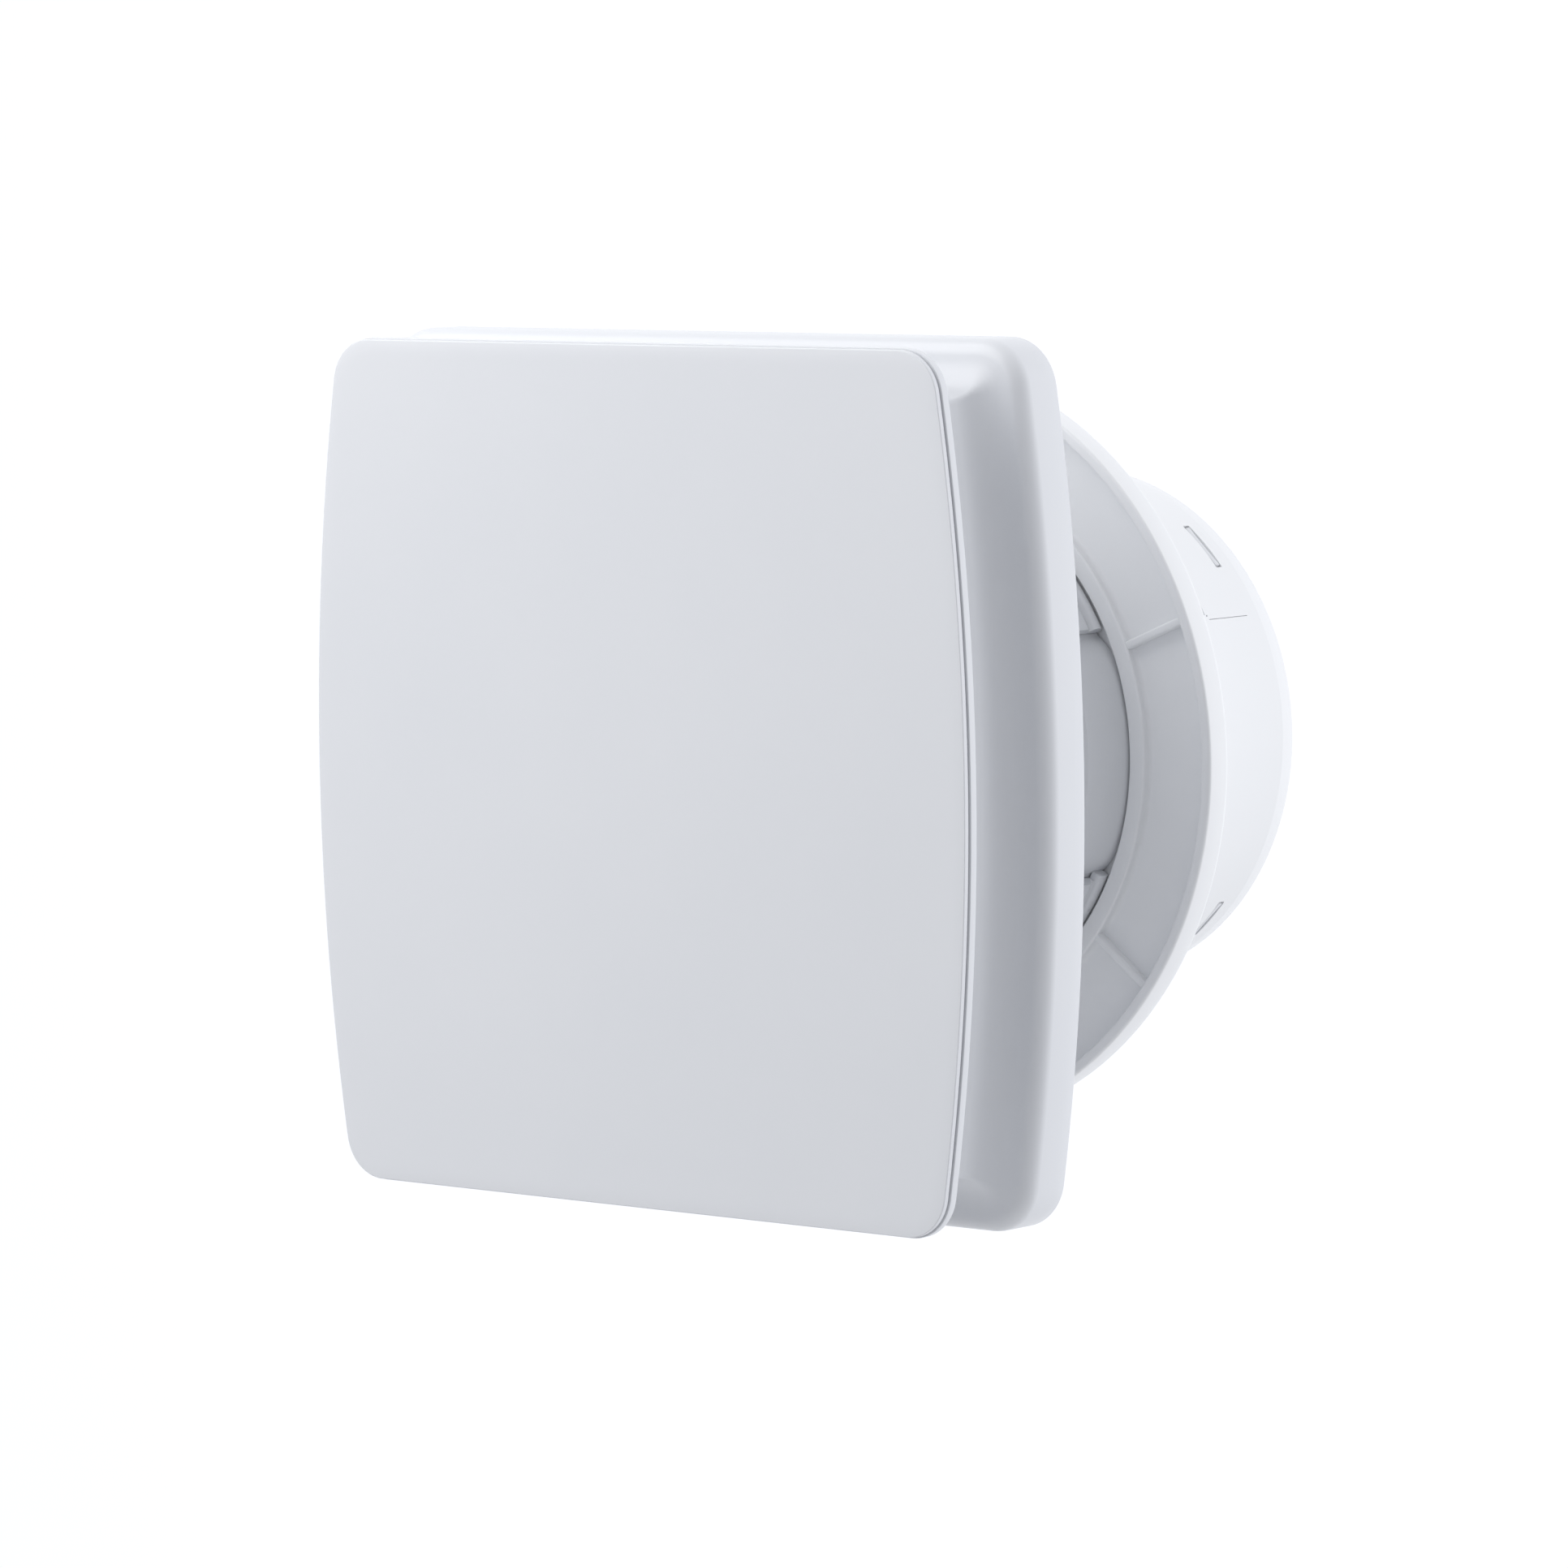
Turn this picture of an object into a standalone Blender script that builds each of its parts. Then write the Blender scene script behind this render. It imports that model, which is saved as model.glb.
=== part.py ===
"""Wall-mounted extractor fan with a flat front panel, a non-return shutter and a duct adaptor.

+Z is up, the front faces -Y and the duct runs along +Y. Y = 0 is the wall plane, and the duct axis is X = Z = 0.
Named sizes are millimetres. The helpers turn them into metres.
"""

import math

import bmesh
import bpy
from mathutils import Matrix

MM = 0.001
GAP = 0.3

# Driving sizes
PANEL_HEIGHT = 158.0
PANEL_TOP_WIDTH = 142.0
PANEL_MID_WIDTH = 155.5
PANEL_CORNER = 9.0
PANEL_FRONT_Y = -29.4
SPIGOT_R = 50.2
FLANGE_R = 72.4
TOTAL_END_Y = 106.3

# Front panel
FACE_THICK = 1.1
FACE_INSET = 0.3
CARRIER_THICK = 1.8
CARRIER_FRONT_Y = PANEL_FRONT_Y + FACE_THICK + GAP
CARRIER_BACK_Y = CARRIER_FRONT_Y + CARRIER_THICK
POST_R = 2.6
POST_END_Y = -13.5
POST_X = 20.0
POST_Z = 62.0

# Wall frame
FRAME_GROW_X = 3.7
FRAME_GROW_Z = 1.0
RIM_DEPTH = 7.5
RIM_FILLET = 3.0
COVE_WIDTH = 7.5
COVE_DEPTH = 6.5
NECK_INSET = 11.0
FRAME_WALL = 2.4
DECK_FRONT_Y = -20.6
DECK_THICK = 2.0
DECK_BACK_Y = DECK_FRONT_Y + DECK_THICK
INLET_R = 47.5
INLET_OUTER_R = 51.0
INLET_BACK_Y = -13.4

# Fan tube and its sleeves
TUBE_R_IN = 47.0
TUBE_R_OUT = 49.0
TUBE_FRONT_Y = INLET_BACK_Y + GAP
TUBE_BACK_Y = 53.3
TUBE_FLANGE_R = 57.0
TUBE_FLANGE_THICK = 2.0
SLEEVE_R_OUT = 51.4
SLEEVE_Y = (3.0, 53.0)
SLEEVE_WINDOW_HALF_ANGLE = 27.5
TUBE_SCREW_R = 54.2
TUBE_SCREW_ANGLES = (90.0, 210.0, 330.0)

# Wall screws
WALL_SCREW_X = 60.0
WALL_SCREW_Z = 36.0
WALL_SCREW_LENGTH = 33.0

# Duct adaptor
FLANGE_FRONT_Y = 49.3
FLANGE_PLATE_Y = (53.6, 55.6)
FLANGE_LIP = 2.2
COLLAR_R = (52.9, 55.3)
COLLAR_FRONT_Y = 51.8
SPIGOT_R_IN = 48.2
LEAD_IN_Y = 102.2
LEAD_IN_R = 49.6
RIB_COUNT = 6
RIB_FIRST_ANGLE = 22.0
RIB_THICK = 1.4
WINDOW_ANGLES = (46.0, 134.0, 226.0, 314.0)
WINDOW_Y = (97.0, 98.8)
WINDOW_WIDTH = 11.0

# Non-return shutter
SHUTTER_R_OUT = 47.7
SHUTTER_R_IN = 46.3
SHUTTER_SEAT_R = 44.4
SHUTTER_Y = (57.0, 101.0)
SEAT_BACK_Y = 59.6
HOOK_WIDTH = 8.0
PIN_R = 1.1
PIN_Y = 63.0
PIN_HALF_LENGTH = 44.9
FLAP_R = 45.7
FLAP_Y = (60.0, 61.2)
FLAP_EDGE_X = 3.2
FLAP_NOTCH_X = 8.5
FLAP_NOTCH_Z = 41.2
KNUCKLE_R = 2.6
KNUCKLE_Z = (8.0, 38.0)
SPRING_R = 2.4
SPRING_WIRE_R = 0.35
SPRING_HALF_LENGTH = 4.5
SPRING_TURNS = 4
SPRING_SIDES = 10

# Motor
ARM_COUNT = 4
ARM_Y = (42.0, 50.0)
SPIDER_RING_R = (45.0, 46.6)
SPIDER_RING_Y = (42.0, 52.0)
CUP_R = (22.6, 24.0)
CUP_Y = (16.0, 50.2)
END_CAP_Y = (13.7, 15.7)
EAR_OFFSET = 26.0
EAR_R = 2.8
BEARING_R = 7.0
BEARING_SEAT_R = 7.3
BEARING_BOSS_R = 9.2
SHAFT_R = 2.5
BORE_R = 2.8
SHAFT_Y = (-10.7, 48.9)
CORE_Y = (24.0, 38.0)
CORE_R = (19.0, 22.2)
POLE_COUNT = 4
POLE_WIDTH = 7.0
AIR_GAP_R = 12.6
ROTOR_R = 12.3
COIL_R = (14.8, 17.8)
COIL_WIDTH = 12.4
COIL_LENGTH = 20.0

# Impeller
HUB_R = 20.0
HUB_WALL = 1.7
HUB_Y = (-10.0, 10.6)
BLADE_COUNT = 7
BLADE_TIP_R = 45.6
BLADE_THICK = 1.6
BLADE_MID_Y = 0.5
BLADE_ROOT_ANGLE = 48.0
BLADE_TIP_ANGLE = 26.0
BLADE_ROOT_CHORD = 21.0
BLADE_TIP_CHORD = 27.0

# Mains connection
BLOCK_CENTRE = (44.0, -13.1, -58.0)
BLOCK_SIZE = (26.0, 10.2, 12.0)
COVER_WALL = 1.2
COVER_CLEARANCE = 0.6
COVER_BACK_Y = -4.5
TERMINAL_PITCH = 8.5
CLAMP_CENTRE_X = 50.0
CLAMP_CENTRE_Z = -46.5
CLAMP_SIZE = (18.0, 3.0, 4.0)
CLAMP_FRONT_Y = -14.3
CLAMP_SCREW_OFFSET = 6.5

# colour, roughness, metallic
FINISHES = {
    "gloss_white": ((0.86, 0.87, 0.88), 0.28, 0.0),
    "satin_white": ((0.84, 0.85, 0.86), 0.42, 0.0),
    "grey_plastic": ((0.55, 0.56, 0.57), 0.5, 0.0),
    "black_plastic": ((0.03, 0.03, 0.03), 0.5, 0.0),
    "steel": ((0.62, 0.62, 0.63), 0.3, 1.0),
    "lamination": ((0.35, 0.36, 0.38), 0.45, 1.0),
    "copper": ((0.72, 0.35, 0.16), 0.35, 1.0),
    "bronze": ((0.55, 0.4, 0.22), 0.4, 1.0),
    "brass": ((0.75, 0.6, 0.3), 0.3, 1.0),
}


# ---------------------------------------------------------------- scene helpers


def clear_scene():
    for obj in list(bpy.data.objects):
        bpy.data.objects.remove(obj, do_unlink=True)


def new_collection(name):
    group = bpy.data.collections.new(name)
    bpy.context.scene.collection.children.link(group)
    return group


def finish(obj, key):
    """Gives a sub-part its own material and puts it with the fan's parts."""
    colour, roughness, metallic = FINISHES[key]
    mat = bpy.data.materials.new(obj.name + "_" + key)
    mat.use_nodes = True
    shader = mat.node_tree.nodes["Principled BSDF"]
    shader.inputs["Base Color"].default_value = (*colour, 1.0)
    shader.inputs["Roughness"].default_value = roughness
    shader.inputs["Metallic"].default_value = metallic
    obj.data.materials.append(mat)
    PARTS.objects.link(obj)
    return obj


def tool(obj):
    """Puts a shape that cuts or joins another with the tools, out of sight."""
    TOOLS.objects.link(obj)
    obj.hide_render = True
    obj.display_type = "WIRE"
    return obj


def boolean(obj, other, operation):
    step = obj.modifiers.new(operation.lower() + "_" + other.name, "BOOLEAN")
    step.operation = operation
    step.solver = "EXACT"
    step.object = tool(other)


def add(obj, other):
    boolean(obj, other, "UNION")


def cut(obj, other):
    boolean(obj, other, "DIFFERENCE")


# ---------------------------------------------------------------- shape helpers


def mesh_object(name, build):
    """An object whose mesh is filled in by build(bm)."""
    mesh = bpy.data.meshes.new(name)
    bm = bmesh.new()
    build(bm)
    bmesh.ops.recalc_face_normals(bm, faces=bm.faces)
    bm.to_mesh(mesh)
    bm.free()
    return bpy.data.objects.new(name, mesh)


def block(name, size, centre, turn=0.0):
    """A box of size (x, y, z). turn swings its centre and itself about the duct axis, from +X towards +Z."""
    scale = Matrix.Diagonal((size[0] * MM, size[1] * MM, size[2] * MM, 1.0))
    obj = mesh_object(name, lambda bm: bmesh.ops.create_cube(bm, size=1.0, matrix=scale))
    swing = Matrix.Rotation(-math.radians(turn), 4, "Y")
    obj.matrix_world = swing @ Matrix.Translation([c * MM for c in centre])
    return obj


def rod(name, radius, y_range, x=0.0, z=0.0, segments=14):
    """A cylinder along the duct axis direction."""
    depth = (y_range[1] - y_range[0]) * MM

    def build(bm):
        bmesh.ops.create_cone(
            bm, cap_ends=True, segments=segments, radius1=radius * MM, radius2=radius * MM, depth=depth
        )

    obj = mesh_object(name, build)
    obj.rotation_euler.x = -math.pi / 2
    obj.location = (x * MM, (y_range[0] + y_range[1]) / 2 * MM, z * MM)
    return obj


def turned(name, profile, steps, closed=True, axis_x=0.0, axis_z=0.0):
    """A (radius, y) profile turned about an axis parallel to the duct."""
    mesh = bpy.data.meshes.new(name)
    points = [(r * MM, 0.0, y * MM) for r, y in profile]
    edges = [(i, i + 1) for i in range(len(points) - 1)]
    if closed:
        edges.append((len(points) - 1, 0))
    mesh.from_pydata(points, edges, [])
    obj = bpy.data.objects.new(name, mesh)
    obj.rotation_euler.x = -math.pi / 2
    obj.location = (axis_x * MM, 0.0, axis_z * MM)
    screw = obj.modifiers.new("turn", "SCREW")
    screw.steps = steps
    screw.render_steps = steps
    screw.use_merge_vertices = True
    screw.merge_threshold = 0.00001
    screw.use_smooth_shade = False
    return obj


def turned_ring(name, radii, y_range, steps):
    """A plain ring from radii[0] to radii[1]."""
    inner, outer = radii
    low, high = y_range
    profile = [(outer, high), (outer, low), (inner, low), (inner, high)]
    return turned(name, profile, steps)


def plate(name, outlines, y_range):
    """A flat plate across the duct. The first outline is its edge, and the others are its holes."""
    curve = bpy.data.curves.new(name, "CURVE")
    curve.dimensions = "2D"
    curve.fill_mode = "BOTH"
    curve.extrude = (y_range[1] - y_range[0]) / 2 * MM
    for outline in outlines:
        spline = curve.splines.new("POLY")
        spline.points.add(len(outline) - 1)
        for point, (x, z) in zip(spline.points, outline):
            point.co = (x * MM, z * MM, 0.0, 1.0)
        spline.use_cyclic_u = True
    shape = bpy.data.objects.new(name + "_outline", curve)
    shape.rotation_euler.x = math.pi / 2
    shape.location.y = (y_range[0] + y_range[1]) / 2 * MM
    return solid_from_curve(name, shape)


def solid_from_curve(name, shape):
    """Turns a curve object into a welded mesh object in the same place."""
    bpy.context.scene.collection.objects.link(shape)
    bpy.context.view_layer.update()
    evaluated = shape.evaluated_get(bpy.context.evaluated_depsgraph_get())
    mesh = bpy.data.meshes.new_from_object(evaluated)
    bm = bmesh.new()
    bm.from_mesh(mesh)
    bmesh.ops.remove_doubles(bm, verts=bm.verts, dist=0.000001)
    bmesh.ops.recalc_face_normals(bm, faces=bm.faces)
    bm.to_mesh(mesh)
    bm.free()
    obj = bpy.data.objects.new(name, mesh)
    obj.matrix_world = shape.matrix_world.copy()
    bpy.data.objects.remove(shape, do_unlink=True)
    return obj


def arc(cx, cz, radius, start, end, steps):
    """Points on a circle from angle start to end, in degrees."""
    turns = [math.radians(start + (end - start) * i / steps) for i in range(steps + 1)]
    return [(cx + radius * math.cos(a), cz + radius * math.sin(a)) for a in turns]


def circle(radius, steps):
    return arc(0.0, 0.0, radius, 0.0, 360.0, steps)[:-1]


def polar(radius, angle):
    a = math.radians(angle)
    return radius * math.cos(a), radius * math.sin(a)


def barrel_outline(top_width, mid_width, height, corner, inset=0.0):
    """A plate outline with straight top and bottom, bulging sides and round corners, inset evenly."""
    bulge = (mid_width - top_width) / 2
    side_r = ((height / 2) ** 2 + bulge**2) / (2 * bulge)
    side_x = mid_width / 2 - side_r
    side_r -= inset
    corner_r = max(corner - inset, 1.0)
    corner_z = height / 2 - inset - corner_r
    corner_x = side_x + math.sqrt((side_r - corner_r) ** 2 - corner_z**2)
    tangent = math.degrees(math.atan2(corner_z, corner_x - side_x))
    side = arc(side_x, 0.0, side_r, -tangent, tangent, 10)
    turn = arc(corner_x, corner_z, corner_r, tangent, 90.0, 4)[1:]
    right = [(x, -z) for x, z in reversed(turn)] + side + turn
    left = [(-x, z) for x, z in reversed(right)]
    return right + left


def loft_ring(name, rings):
    """A closed ring of wall whose section goes round through the given outlines. Each is ([(x, z)...], y)."""

    def build(bm):
        loops = [[bm.verts.new((x * MM, y * MM, z * MM)) for x, z in outline] for outline, y in rings]
        for here, there in zip(loops, loops[1:] + loops[:1]):
            for i in range(len(here)):
                j = (i + 1) % len(here)
                bm.faces.new((here[i], here[j], there[j], there[i]))

    return mesh_object(name, build)


def panel_outline(inset=0.0):
    return barrel_outline(PANEL_TOP_WIDTH, PANEL_MID_WIDTH, PANEL_HEIGHT, PANEL_CORNER, inset)


def frame_outline(inset=0.0):
    top = PANEL_TOP_WIDTH + 2 * FRAME_GROW_X
    mid = PANEL_MID_WIDTH + 2 * FRAME_GROW_X
    return barrel_outline(top, mid, PANEL_HEIGHT + 2 * FRAME_GROW_Z, PANEL_CORNER + 1.0, inset)


def corner_points(x, z):
    return [(x, z), (-x, z), (-x, -z), (x, -z)]


# ---------------------------------------------------------------- front panel


def build_panel():
    face = plate("panel_face", [panel_outline(FACE_INSET)], (PANEL_FRONT_Y, PANEL_FRONT_Y + FACE_THICK))
    finish(face, "gloss_white")
    carrier = plate("panel_carrier", [panel_outline()], (CARRIER_FRONT_Y, CARRIER_BACK_Y))
    for i, (x, z) in enumerate(corner_points(POST_X, POST_Z)):
        add(carrier, rod(f"post_{i}", POST_R, (CARRIER_BACK_Y - 1.0, POST_END_Y), x, z))
    finish(carrier, "gloss_white")


# ---------------------------------------------------------------- wall frame


def frame_section():
    """(inset, y) round the frame's wall: outside from the wall plane forward, then back along the inside."""
    outside = [(0.0, 0.0), (0.0, -RIM_DEPTH)]
    for angle in (30.0, 60.0, 90.0):
        x, y = polar(RIM_FILLET, angle)
        outside.append((RIM_FILLET - x, -RIM_DEPTH - y))
    shelf_y = -RIM_DEPTH - RIM_FILLET
    for angle in (30.0, 60.0, 90.0):
        x, y = polar(1.0, angle)
        outside.append((RIM_FILLET + COVE_WIDTH * y, shelf_y - COVE_DEPTH * (1.0 - x)))
    front = DECK_FRONT_Y - 0.2
    outside.append((NECK_INSET, front))
    inner_neck = NECK_INSET + FRAME_WALL
    inside = [
        (inner_neck, front),
        (inner_neck, shelf_y - COVE_DEPTH + 1.0),
        (RIM_FILLET + FRAME_WALL, shelf_y + FRAME_WALL),
        (FRAME_WALL, -RIM_DEPTH + 1.0),
        (FRAME_WALL, 0.0),
    ]
    return outside + inside


def inlet_profile():
    """The short bell-mouthed ring that leads the air into the tube."""
    lip_y = DECK_FRONT_Y - 0.6
    return [
        (INLET_OUTER_R, INLET_BACK_Y),
        (INLET_OUTER_R, DECK_FRONT_Y - 0.3),
        (INLET_R + 2.0, lip_y),
        (INLET_R + 0.6, lip_y + 0.3),
        (INLET_R, lip_y + 1.2),
        (INLET_R, INLET_BACK_Y),
    ]


def build_frame():
    frame = loft_ring("front_frame", [(frame_outline(inset), y) for inset, y in frame_section()])
    deck_edge = frame_outline(NECK_INSET + FRAME_WALL / 2)
    add(frame, plate("deck", [deck_edge, circle(INLET_R + 2.0, 36)], (DECK_FRONT_Y, DECK_BACK_Y)))
    add(frame, turned("inlet", inlet_profile(), 48))
    boss_front = DECK_BACK_Y - 1.0
    for i, (x, z) in enumerate(corner_points(WALL_SCREW_X, WALL_SCREW_Z)):
        add(frame, rod(f"wall_boss_{i}", 4.5, (boss_front, -0.5), x, z))
        cut(frame, rod(f"wall_hole_{i}", 2.3, (DECK_FRONT_Y - 1.0, 1.0), x, z))
    for i, (x, z) in enumerate(corner_points(POST_X, POST_Z)):
        add(frame, rod(f"socket_{i}", 4.6, (boss_front, POST_END_Y + 0.5), x, z))
        cut(frame, rod(f"socket_hole_{i}", POST_R + GAP, (DECK_FRONT_Y - 1.0, 1.0), x, z))
    for i, angle in enumerate(TUBE_SCREW_ANGLES):
        x, z = polar(TUBE_SCREW_R, angle)
        add(frame, rod(f"tube_boss_{i}", 3.6, (boss_front, INLET_BACK_Y - 0.1), x, z))
        cut(frame, rod(f"tube_hole_{i}", 1.4, (DECK_BACK_Y, INLET_BACK_Y + 1.0), x, z, 12))
    base = (CLAMP_SIZE[0], CLAMP_FRONT_Y - GAP - boss_front, CLAMP_SIZE[2])
    base_y = (CLAMP_FRONT_Y - GAP + boss_front) / 2
    add(frame, block("clamp_base", base, (CLAMP_CENTRE_X, base_y, CLAMP_CENTRE_Z)))
    for i, x in enumerate(clamp_screw_xs()):
        cut(frame, rod(f"clamp_hole_{i}", 1.3, (DECK_BACK_Y, CLAMP_FRONT_Y + 1.0), x, CLAMP_CENTRE_Z, 12))
    finish(frame, "gloss_white")


# ---------------------------------------------------------------- tube and sleeves


def build_tube():
    flange_back = TUBE_FRONT_Y + TUBE_FLANGE_THICK
    profile = [
        (TUBE_R_OUT, TUBE_BACK_Y),
        (TUBE_R_OUT, flange_back),
        (TUBE_FLANGE_R, flange_back),
        (TUBE_FLANGE_R, TUBE_FRONT_Y),
        (TUBE_R_IN, TUBE_FRONT_Y),
        (TUBE_R_IN, TUBE_BACK_Y),
    ]
    tube = turned("fan_tube", profile, 60)
    for i, angle in enumerate(TUBE_SCREW_ANGLES):
        x, z = polar(TUBE_SCREW_R, angle)
        cut(tube, rod(f"flange_hole_{i}", 1.4, (TUBE_FRONT_Y - 1.0, flange_back + 1.0), x, z, 12))
    finish(tube, "satin_white")


def build_sleeves():
    inner = TUBE_R_OUT + GAP
    for name, middle in (("tube_sleeve_upper", 90.0), ("tube_sleeve_lower", 270.0)):
        half = 90.0 - SLEEVE_WINDOW_HALF_ANGLE
        outside = arc(0.0, 0.0, SLEEVE_R_OUT, middle - half, middle + half, 24)
        inside = arc(0.0, 0.0, inner, middle + half, middle - half, 24)
        finish(plate(name, [outside + inside], SLEEVE_Y), "satin_white")


# ---------------------------------------------------------------- duct adaptor


def adaptor_profile():
    plate_front, plate_back = FLANGE_PLATE_Y
    return [
        (LEAD_IN_R, TOTAL_END_Y),
        (SPIGOT_R, LEAD_IN_Y),
        (SPIGOT_R, plate_back + 1.5),
        (SPIGOT_R + 1.5, plate_back),
        (FLANGE_R - 1.5, plate_back),
        (FLANGE_R, plate_back - 1.5),
        (FLANGE_R, FLANGE_FRONT_Y),
        (FLANGE_R - FLANGE_LIP, FLANGE_FRONT_Y),
        (FLANGE_R - FLANGE_LIP, plate_front),
        (COLLAR_R[1], plate_front),
        (COLLAR_R[1], COLLAR_FRONT_Y),
        (COLLAR_R[0], COLLAR_FRONT_Y),
        (COLLAR_R[0], plate_front),
        (SPIGOT_R_IN, plate_front),
        (SPIGOT_R_IN, TOTAL_END_Y),
    ]


def build_adaptor():
    adaptor = turned("duct_adaptor", adaptor_profile(), 72)
    rib_front = COLLAR_FRONT_Y + 0.2
    rib_back = FLANGE_PLATE_Y[0] + 1.0
    rib_r = (COLLAR_R[1] - 1.0, FLANGE_R - 1.2)
    rib_size = (rib_r[1] - rib_r[0], rib_back - rib_front, RIB_THICK)
    rib_centre = ((rib_r[0] + rib_r[1]) / 2, (rib_front + rib_back) / 2, 0.0)
    for i in range(RIB_COUNT):
        add(adaptor, block(f"rib_{i}", rib_size, rib_centre, RIB_FIRST_ANGLE + i * 360.0 / RIB_COUNT))
    window_size = (6.0, WINDOW_Y[1] - WINDOW_Y[0], WINDOW_WIDTH)
    window_centre = (SPIGOT_R - 0.5, sum(WINDOW_Y) / 2, 0.0)
    for i, angle in enumerate(WINDOW_ANGLES):
        cut(adaptor, block(f"window_{i}", window_size, window_centre, angle))
    finish(adaptor, "gloss_white")


# ---------------------------------------------------------------- non-return shutter


def build_shutter_sleeve():
    profile = [
        (SHUTTER_R_OUT, SHUTTER_Y[1]),
        (SHUTTER_R_OUT, SHUTTER_Y[0]),
        (SHUTTER_SEAT_R, SHUTTER_Y[0]),
        (SHUTTER_SEAT_R, SEAT_BACK_Y),
        (SHUTTER_R_IN, SEAT_BACK_Y),
        (SHUTTER_R_IN, SHUTTER_Y[1]),
    ]
    sleeve = turned("shutter_sleeve", profile, 48)
    bar_y = (SHUTTER_Y[0] + 0.2, SEAT_BACK_Y - 0.2)
    bar_size = (5.0, bar_y[1] - bar_y[0], 2 * SHUTTER_SEAT_R + 1.5)
    add(sleeve, block("seat_bar", bar_size, (0.0, sum(bar_y) / 2, 0.0)))
    for side in (1, -1):
        pin_boss = block(f"pin_boss_{side}", (6.0, 8.3, 5.0), (0.0, 62.55, side * 44.4))
        add(sleeve, pin_boss)
    add_hooks(sleeve)
    hole = rod("pin_hole", PIN_R + GAP, (-PIN_HALF_LENGTH - 0.4, PIN_HALF_LENGTH + 0.4), segments=12)
    hole.rotation_euler.x = 0.0
    hole.location = (0.0, PIN_Y * MM, 0.0)
    cut(sleeve, hole)
    finish(sleeve, "satin_white")


def add_hooks(sleeve):
    hook_size = (2.3, 1.0, HOOK_WIDTH)
    hook_centre = (SHUTTER_R_OUT + 0.7, sum(WINDOW_Y) / 2, 0.0)
    for i, angle in enumerate(WINDOW_ANGLES):
        add(sleeve, block(f"hook_{i}", hook_size, hook_centre, angle))


def upright_rod(name, radius, z_range, segments=16):
    """A cylinder standing on the shutter's pin line."""
    obj = rod(name, radius, (0.0, z_range[1] - z_range[0]), segments=segments)
    obj.rotation_euler.x = 0.0
    obj.location = (0.0, PIN_Y * MM, sum(z_range) / 2 * MM)
    return obj


def build_shutter_pin():
    finish(upright_rod("shutter_pin", PIN_R, (-PIN_HALF_LENGTH, PIN_HALF_LENGTH)), "steel")


def build_shutter_spring():
    """A torsion coil round the pin, between the flaps' knuckles, with both legs on the seat bar."""
    turns = SPRING_SIDES * SPRING_TURNS
    coil = []
    for i in range(turns + 1):
        x, y = polar(SPRING_R, 360.0 * i / SPRING_SIDES)
        coil.append((x, y, SPRING_HALF_LENGTH * (2.0 * i / turns - 1.0)))
    leg = SEAT_BACK_Y + 0.6 - PIN_Y
    first = (SPRING_R, leg, -SPRING_HALF_LENGTH)
    last = (SPRING_R, leg, SPRING_HALF_LENGTH)
    curve = bpy.data.curves.new("shutter_spring", "CURVE")
    curve.dimensions = "3D"
    curve.bevel_depth = SPRING_WIRE_R * MM
    curve.bevel_resolution = 1
    curve.use_fill_caps = True
    spline = curve.splines.new("POLY")
    points = [first] + coil + [last]
    spline.points.add(len(points) - 1)
    for point, (x, y, z) in zip(spline.points, points):
        point.co = (x * MM, (y + PIN_Y) * MM, z * MM, 1.0)
    shape = bpy.data.objects.new("spring_line", curve)
    finish(solid_from_curve("shutter_spring", shape), "steel")


def build_flap(name, side):
    """A half disc hinged on the pin. side is 1 on +X and -1 on -X, and sets which end its knuckle is at."""
    edge_angle = math.degrees(math.acos(FLAP_NOTCH_X / FLAP_R))
    outline = [(FLAP_EDGE_X, -FLAP_NOTCH_Z), (FLAP_NOTCH_X, -FLAP_NOTCH_Z)]
    outline += arc(0.0, 0.0, FLAP_R, -edge_angle, edge_angle, 24)
    outline += [(FLAP_NOTCH_X, FLAP_NOTCH_Z), (FLAP_EDGE_X, FLAP_NOTCH_Z)]
    if side < 0:
        outline = [(-x, z) for x, z in reversed(outline)]
    flap = plate(name, [outline], FLAP_Y)
    low, high = sorted(side * z for z in KNUCKLE_Z)
    web_x = (1.6, 5.0)
    web_size = (web_x[1] - web_x[0], 1.6, high - low)
    web_centre = (side * sum(web_x) / 2, FLAP_Y[0] + 0.85, (low + high) / 2)
    add(flap, block(name + "_web", web_size, web_centre))
    add(flap, upright_rod(name + "_knuckle", KNUCKLE_R, (low, high)))
    cut(flap, upright_rod(name + "_bore", PIN_R + 0.25, (low - 1.0, high + 1.0)))
    move_origin(flap, (0.0, PIN_Y, 0.0))
    finish(flap, "satin_white")


def move_origin(obj, point):
    """Puts the object's origin on its joint's axis without moving its shape."""
    shift = Matrix.Translation([c * MM for c in point])
    obj.data.transform(shift.inverted() @ obj.matrix_world)
    obj.matrix_world = shift


# ---------------------------------------------------------------- motor


def cup_profile():
    inner, outer = CUP_R
    front, back = CUP_Y
    return [
        (outer, back),
        (outer, front),
        (inner, front),
        (inner, back - 1.8),
        (BEARING_BOSS_R, back - 1.8),
        (BEARING_BOSS_R, 42.0),
        (BEARING_SEAT_R, 42.0),
        (BEARING_SEAT_R, back - 2.9),
        (SHAFT_R + 0.7, back - 2.9),
        (SHAFT_R + 0.7, back),
    ]


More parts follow.
